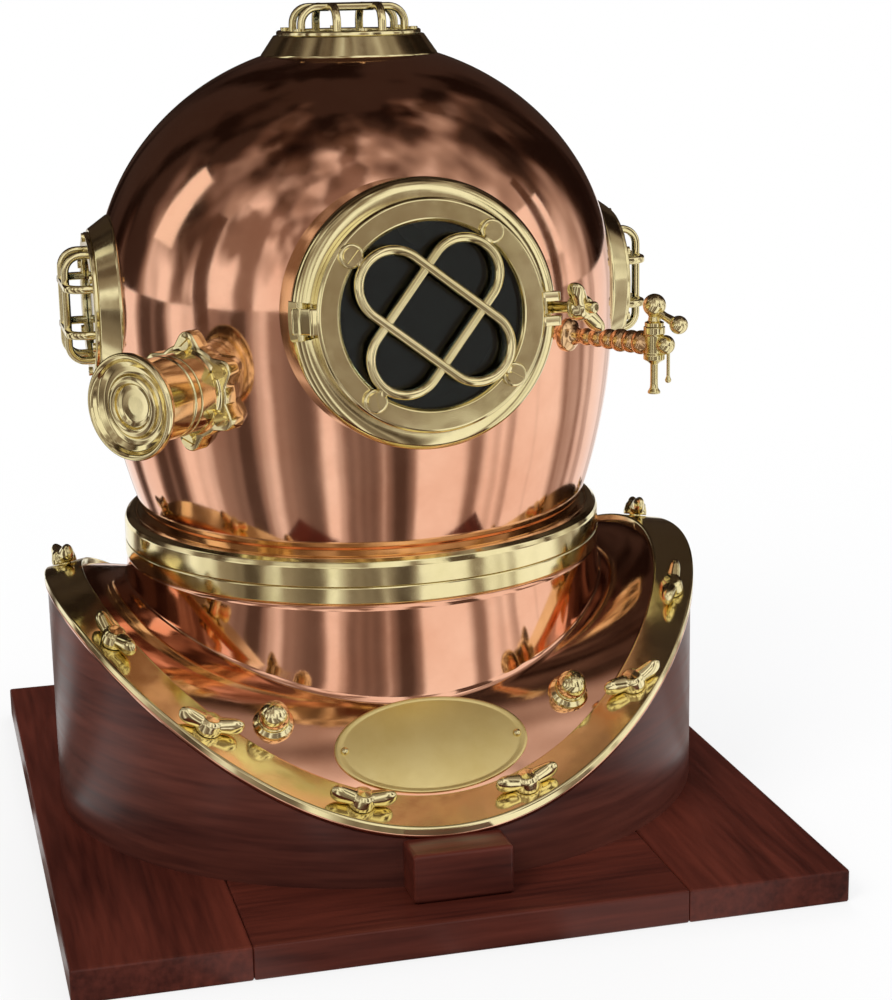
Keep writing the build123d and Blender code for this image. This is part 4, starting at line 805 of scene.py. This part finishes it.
for name, angle in (("air_elbow", 150), ("phone_elbow", -150)):
    origin, x, y, z = place = on_dome(angle, elbow_height)
    lathe(f"{name}_flange", elbow_flange, place, brass, "bonnet", [name], ease=0.5, count=96)
    skin(f"{name}_tube", at(tube, place), brass, "bonnet", sharp=60)
    mouth = (origin - y * bend_radius + z * bend_end, x, z, -y)
    lathe(f"{name}_union", union, mouth, brass, "bonnet", ease=0.5, count=72)
    skin(f"{name}_cap", at(cap, mouth), brass, "bonnet", ["elbow_caps"], sharp=45)

# Screws, pins and seals. Small pieces that keep their turned shapes get the same brass, the window
# its glass, and the hidden seal a dark rubber.
rubber = dull("seal_rubber", (0.03, 0.03, 0.03), (0.012, 0.012, 0.012), 0.6, 300, 0.3)
small_brass = ("plate_rivets", "hinge_pin", "latch_pivot_pin", "port_screws", "exhaust_screws",
               "guard_screws", "glass_retainer", "exhaust_stem")
for names, finish in ((small_brass, brass), (("door_glass",), clear_glass), (("door_gasket",), rubber)):
    for name in names:
        for slot_place in nodes[name].material_slots:
            slot_place.material = finish

# Room. A pale floor that fades into a white backdrop, three soft lamps, and a room that only the
# polished metal shows: pale walls with darker streaks, a dark ceiling behind, and a few cards.
floor_reach = 6
floor_mesh = bpy.data.meshes.new("floor")
corners = [(x * floor_reach, y * floor_reach, 0) for x, y in ((-1, -1), (1, -1), (1, 1), (-1, 1))]
floor_mesh.from_pydata(corners, [], [(0, 1, 2, 3)])
floor_finish, tree, surface = shader("pale_floor")
surface.inputs["Base Color"].default_value = (0.86, 0.86, 0.86, 1)
surface.inputs["Roughness"].default_value = 0.8
lit = node(tree, "Emission", Color=(1, 1, 1, 1))
place_node = node(tree, "TexCoord")
far = node(tree, "VectorMath")
far.operation = "LENGTH"
fade = node(tree, "MapRange", From_Min=0.25, From_Max=1.1, To_Min=0.74, To_Max=1.0)
rays = node(tree, "LightPath")
seen = node(tree, "Math")
seen.operation = "MAXIMUM"
share = node(tree, "Math")
share.operation = "MULTIPLY"
blend = node(tree, "MixShader")
direction = node(tree, "VectorMath")
direction.operation = "NORMALIZE"
streaks = node(tree, "TexNoise", Scale=2.7, Detail=2.5)
tone = ramp(tree, (0.38, (0.085, 0.062, 0.052)), (0.55, (1.0, 0.985, 0.97)), [(0.47, (0.33, 0.27, 0.24))])
mirrored = node(tree, "Emission")
last = node(tree, "MixShader")
wire(tree, (place_node, "Object", far, 0), (far, "Value", fade, "Value"), (rays, "Is Camera Ray", seen, 0),
     (rays, "Is Transmission Ray", seen, 1), (seen, 0, share, 0), (fade, "Result", share, 1),
     (share, 0, blend, 0), (surface, 0, blend, 1), (lit, 0, blend, 2), (place_node, "Object", direction, 0),
     (direction, 0, streaks, "Vector"), (streaks, "Fac", tone, "Fac"), (tone, "Color", mirrored, "Color"),
     (rays, "Is Glossy Ray", last, 0), (blend, 0, last, 1), (mirrored, 0, last, 2),
     (last, 0, tree.nodes["Material Output"], "Surface"))
floor_mesh.materials.append(floor_finish)
floor = bpy.data.objects.new("floor", floor_mesh)
bpy.context.scene.collection.objects.link(floor)

world = bpy.data.worlds.new("room")
bpy.context.scene.world = world
world.use_nodes = True
tree = world.node_tree
backdrop = tree.nodes["Background"]
backdrop.inputs["Color"].default_value = (1, 1, 1, 1)
backdrop.inputs["Strength"].default_value = 1.0
soft_light = node(tree, "Background", Color=(0.97, 0.98, 1.0, 1), Strength=0.62)
room = node(tree, "Background")
where = node(tree, "TexCoord")
walls = node(tree, "Mapping", Scale=(1.5, 1.5, 0.55))
shapes = node(tree, "TexNoise", Scale=1.9, Detail=2.0)
sway = node(tree, "Math")
sway.operation = "MULTIPLY_ADD"
sway.inputs[1].default_value = 1.1
tilt = node(tree, "VectorMath")
tilt.operation = "DOT_PRODUCT"
tilt.inputs[1].default_value = (0, 0.58, 0.42)
ceiling = ramp(tree, (0.58, (1.0, 0.98, 0.96)), (1.0, (0.040, 0.026, 0.020)),
               [(0.76, (0.40, 0.34, 0.30)), (0.92, (0.115, 0.078, 0.062))])
posts_run = node(tree, "Mapping", Scale=(1.0, 1.0, 0.16))
posts = node(tree, "TexNoise", Scale=3.4, Detail=2.5)
veil = ramp(tree, (0.44, (0.26, 0.205, 0.175)), (0.53, (1.0, 1.0, 1.0)))
walls_seen = node(tree, "Mix")
walls_seen.data_type = "RGBA"
walls_seen.blend_type = "MULTIPLY"
walls_seen.inputs[0].default_value = 1.0
rays = node(tree, "LightPath")
mirror = node(tree, "MixShader")
seen = node(tree, "MixShader")
open_view = node(tree, "Math")
open_view.operation = "MAXIMUM"
wire(tree, (where, "Generated", tilt, 0), (where, "Generated", walls, "Vector"),
     (walls, "Vector", shapes, "Vector"), (shapes, "Fac", sway, 0), (tilt, "Value", sway, 2),
     (sway, 0, ceiling, "Fac"), (where, "Generated", posts_run, "Vector"),
     (posts_run, "Vector", posts, "Vector"), (posts, "Fac", veil, "Fac"), (ceiling, "Color", walls_seen, 6),
     (veil, "Color", walls_seen, 7), (walls_seen, 2, room, "Color"), (rays, "Is Glossy Ray", mirror, 0),
     (soft_light, 0, mirror, 1), (room, 0, mirror, 2), (rays, "Is Camera Ray", open_view, 0),
     (rays, "Is Transmission Ray", open_view, 1), (open_view, 0, seen, 0), (mirror, 0, seen, 1),
     (backdrop, 0, seen, 2), (seen, 0, tree.nodes["World Output"], "Surface"))


def card(name, low, high, tone):
    """Upright card between two corners in metres, seen only in reflections, and casting no shadow."""
    (x0, y0, z0), (x1, y1, z1) = low, high
    mesh = bpy.data.meshes.new(name)
    mesh.from_pydata([(x0, y0, z0), (x1, y1, z0), (x1, y1, z1), (x0, y0, z1)], [], [(0, 1, 2, 3)])
    paint, tree, surface = shader(name)
    glow = node(tree, "Emission", Color=(*tone, 1))
    wire(tree, (glow, 0, tree.nodes["Material Output"], "Surface"))
    mesh.materials.append(paint)
    sheet = bpy.data.objects.new(name, mesh)
    bpy.context.scene.collection.objects.link(sheet)
    sheet.visible_camera = sheet.visible_diffuse = sheet.visible_shadow = sheet.visible_transmission = False


card("card_front_dark", (0.75, -1.5, 0.0), (1.15, -1.3, 1.0), (0.10, 0.07, 0.055))
card("card_left_window", (-2.0, 0.36, 0.85), (-1.8, 0.80, 2.1), (1.0, 0.97, 0.90))
card("card_left_post", (-1.5, -0.35, 0.0), (-1.5, -0.15, 1.3), (0.10, 0.065, 0.05))
card("card_right_window", (1.75, -0.75, 0.55), (1.85, 0.05, 1.25), (1.0, 0.98, 0.95))
card("card_right_post", (1.5, -0.25, 0.0), (1.5, -0.10, 1.4), (0.09, 0.055, 0.04))


def lamp(name, place, target, size, power, tint=(1, 1, 1)):
    """Square soft lamp at a place, turned to a target, both in metres."""
    data = bpy.data.lights.new(name, "AREA")
    data.size = size
    data.energy = power
    data.color = tint
    light = bpy.data.objects.new(name, data)
    bpy.context.scene.collection.objects.link(light)
    origin, x, y, z = facing(place, np.array(place, float) - target)
    light.matrix_world = Matrix([[x[k], y[k], z[k], origin[k]] for k in range(3)] + [[0, 0, 0, 1]])
    light.visible_glossy = False


helmet_middle = np.array([0, 0, 0.24])
lamp("key_lamp", (-1.3, -1.2, 1.7), helmet_middle, 1.0, 26, (1.0, 0.97, 0.93))
lamp("side_lamp", (1.6, -0.5, 1.0), helmet_middle, 0.7, 12, (0.93, 0.96, 1.0))
lamp("back_lamp", (0.2, 1.6, 1.5), helmet_middle, 1.2, 14)

yaw, pitch, roll = np.radians((-14.5, 13.9, 1.05))
ahead = np.array([-np.sin(yaw) * np.cos(pitch), np.cos(yaw) * np.cos(pitch), -np.sin(pitch)])
right = np.array([np.cos(yaw), np.sin(yaw), 0])
down = np.cross(ahead, right)
right, down = right * np.cos(roll) + down * np.sin(roll), down * np.cos(roll) - right * np.sin(roll)
lens = bpy.data.cameras.new("camera")
lens.lens = 77.8
camera = bpy.data.objects.new("camera", lens)
bpy.context.scene.collection.objects.link(camera)
spot = (-0.2585, -1.1680, 0.4755)
camera.matrix_world = Matrix([[right[k], -down[k], -ahead[k], spot[k]] for k in range(3)] + [[0, 0, 0, 1]])
bpy.context.scene.camera = camera
bpy.context.scene.view_settings.view_transform = "Standard"
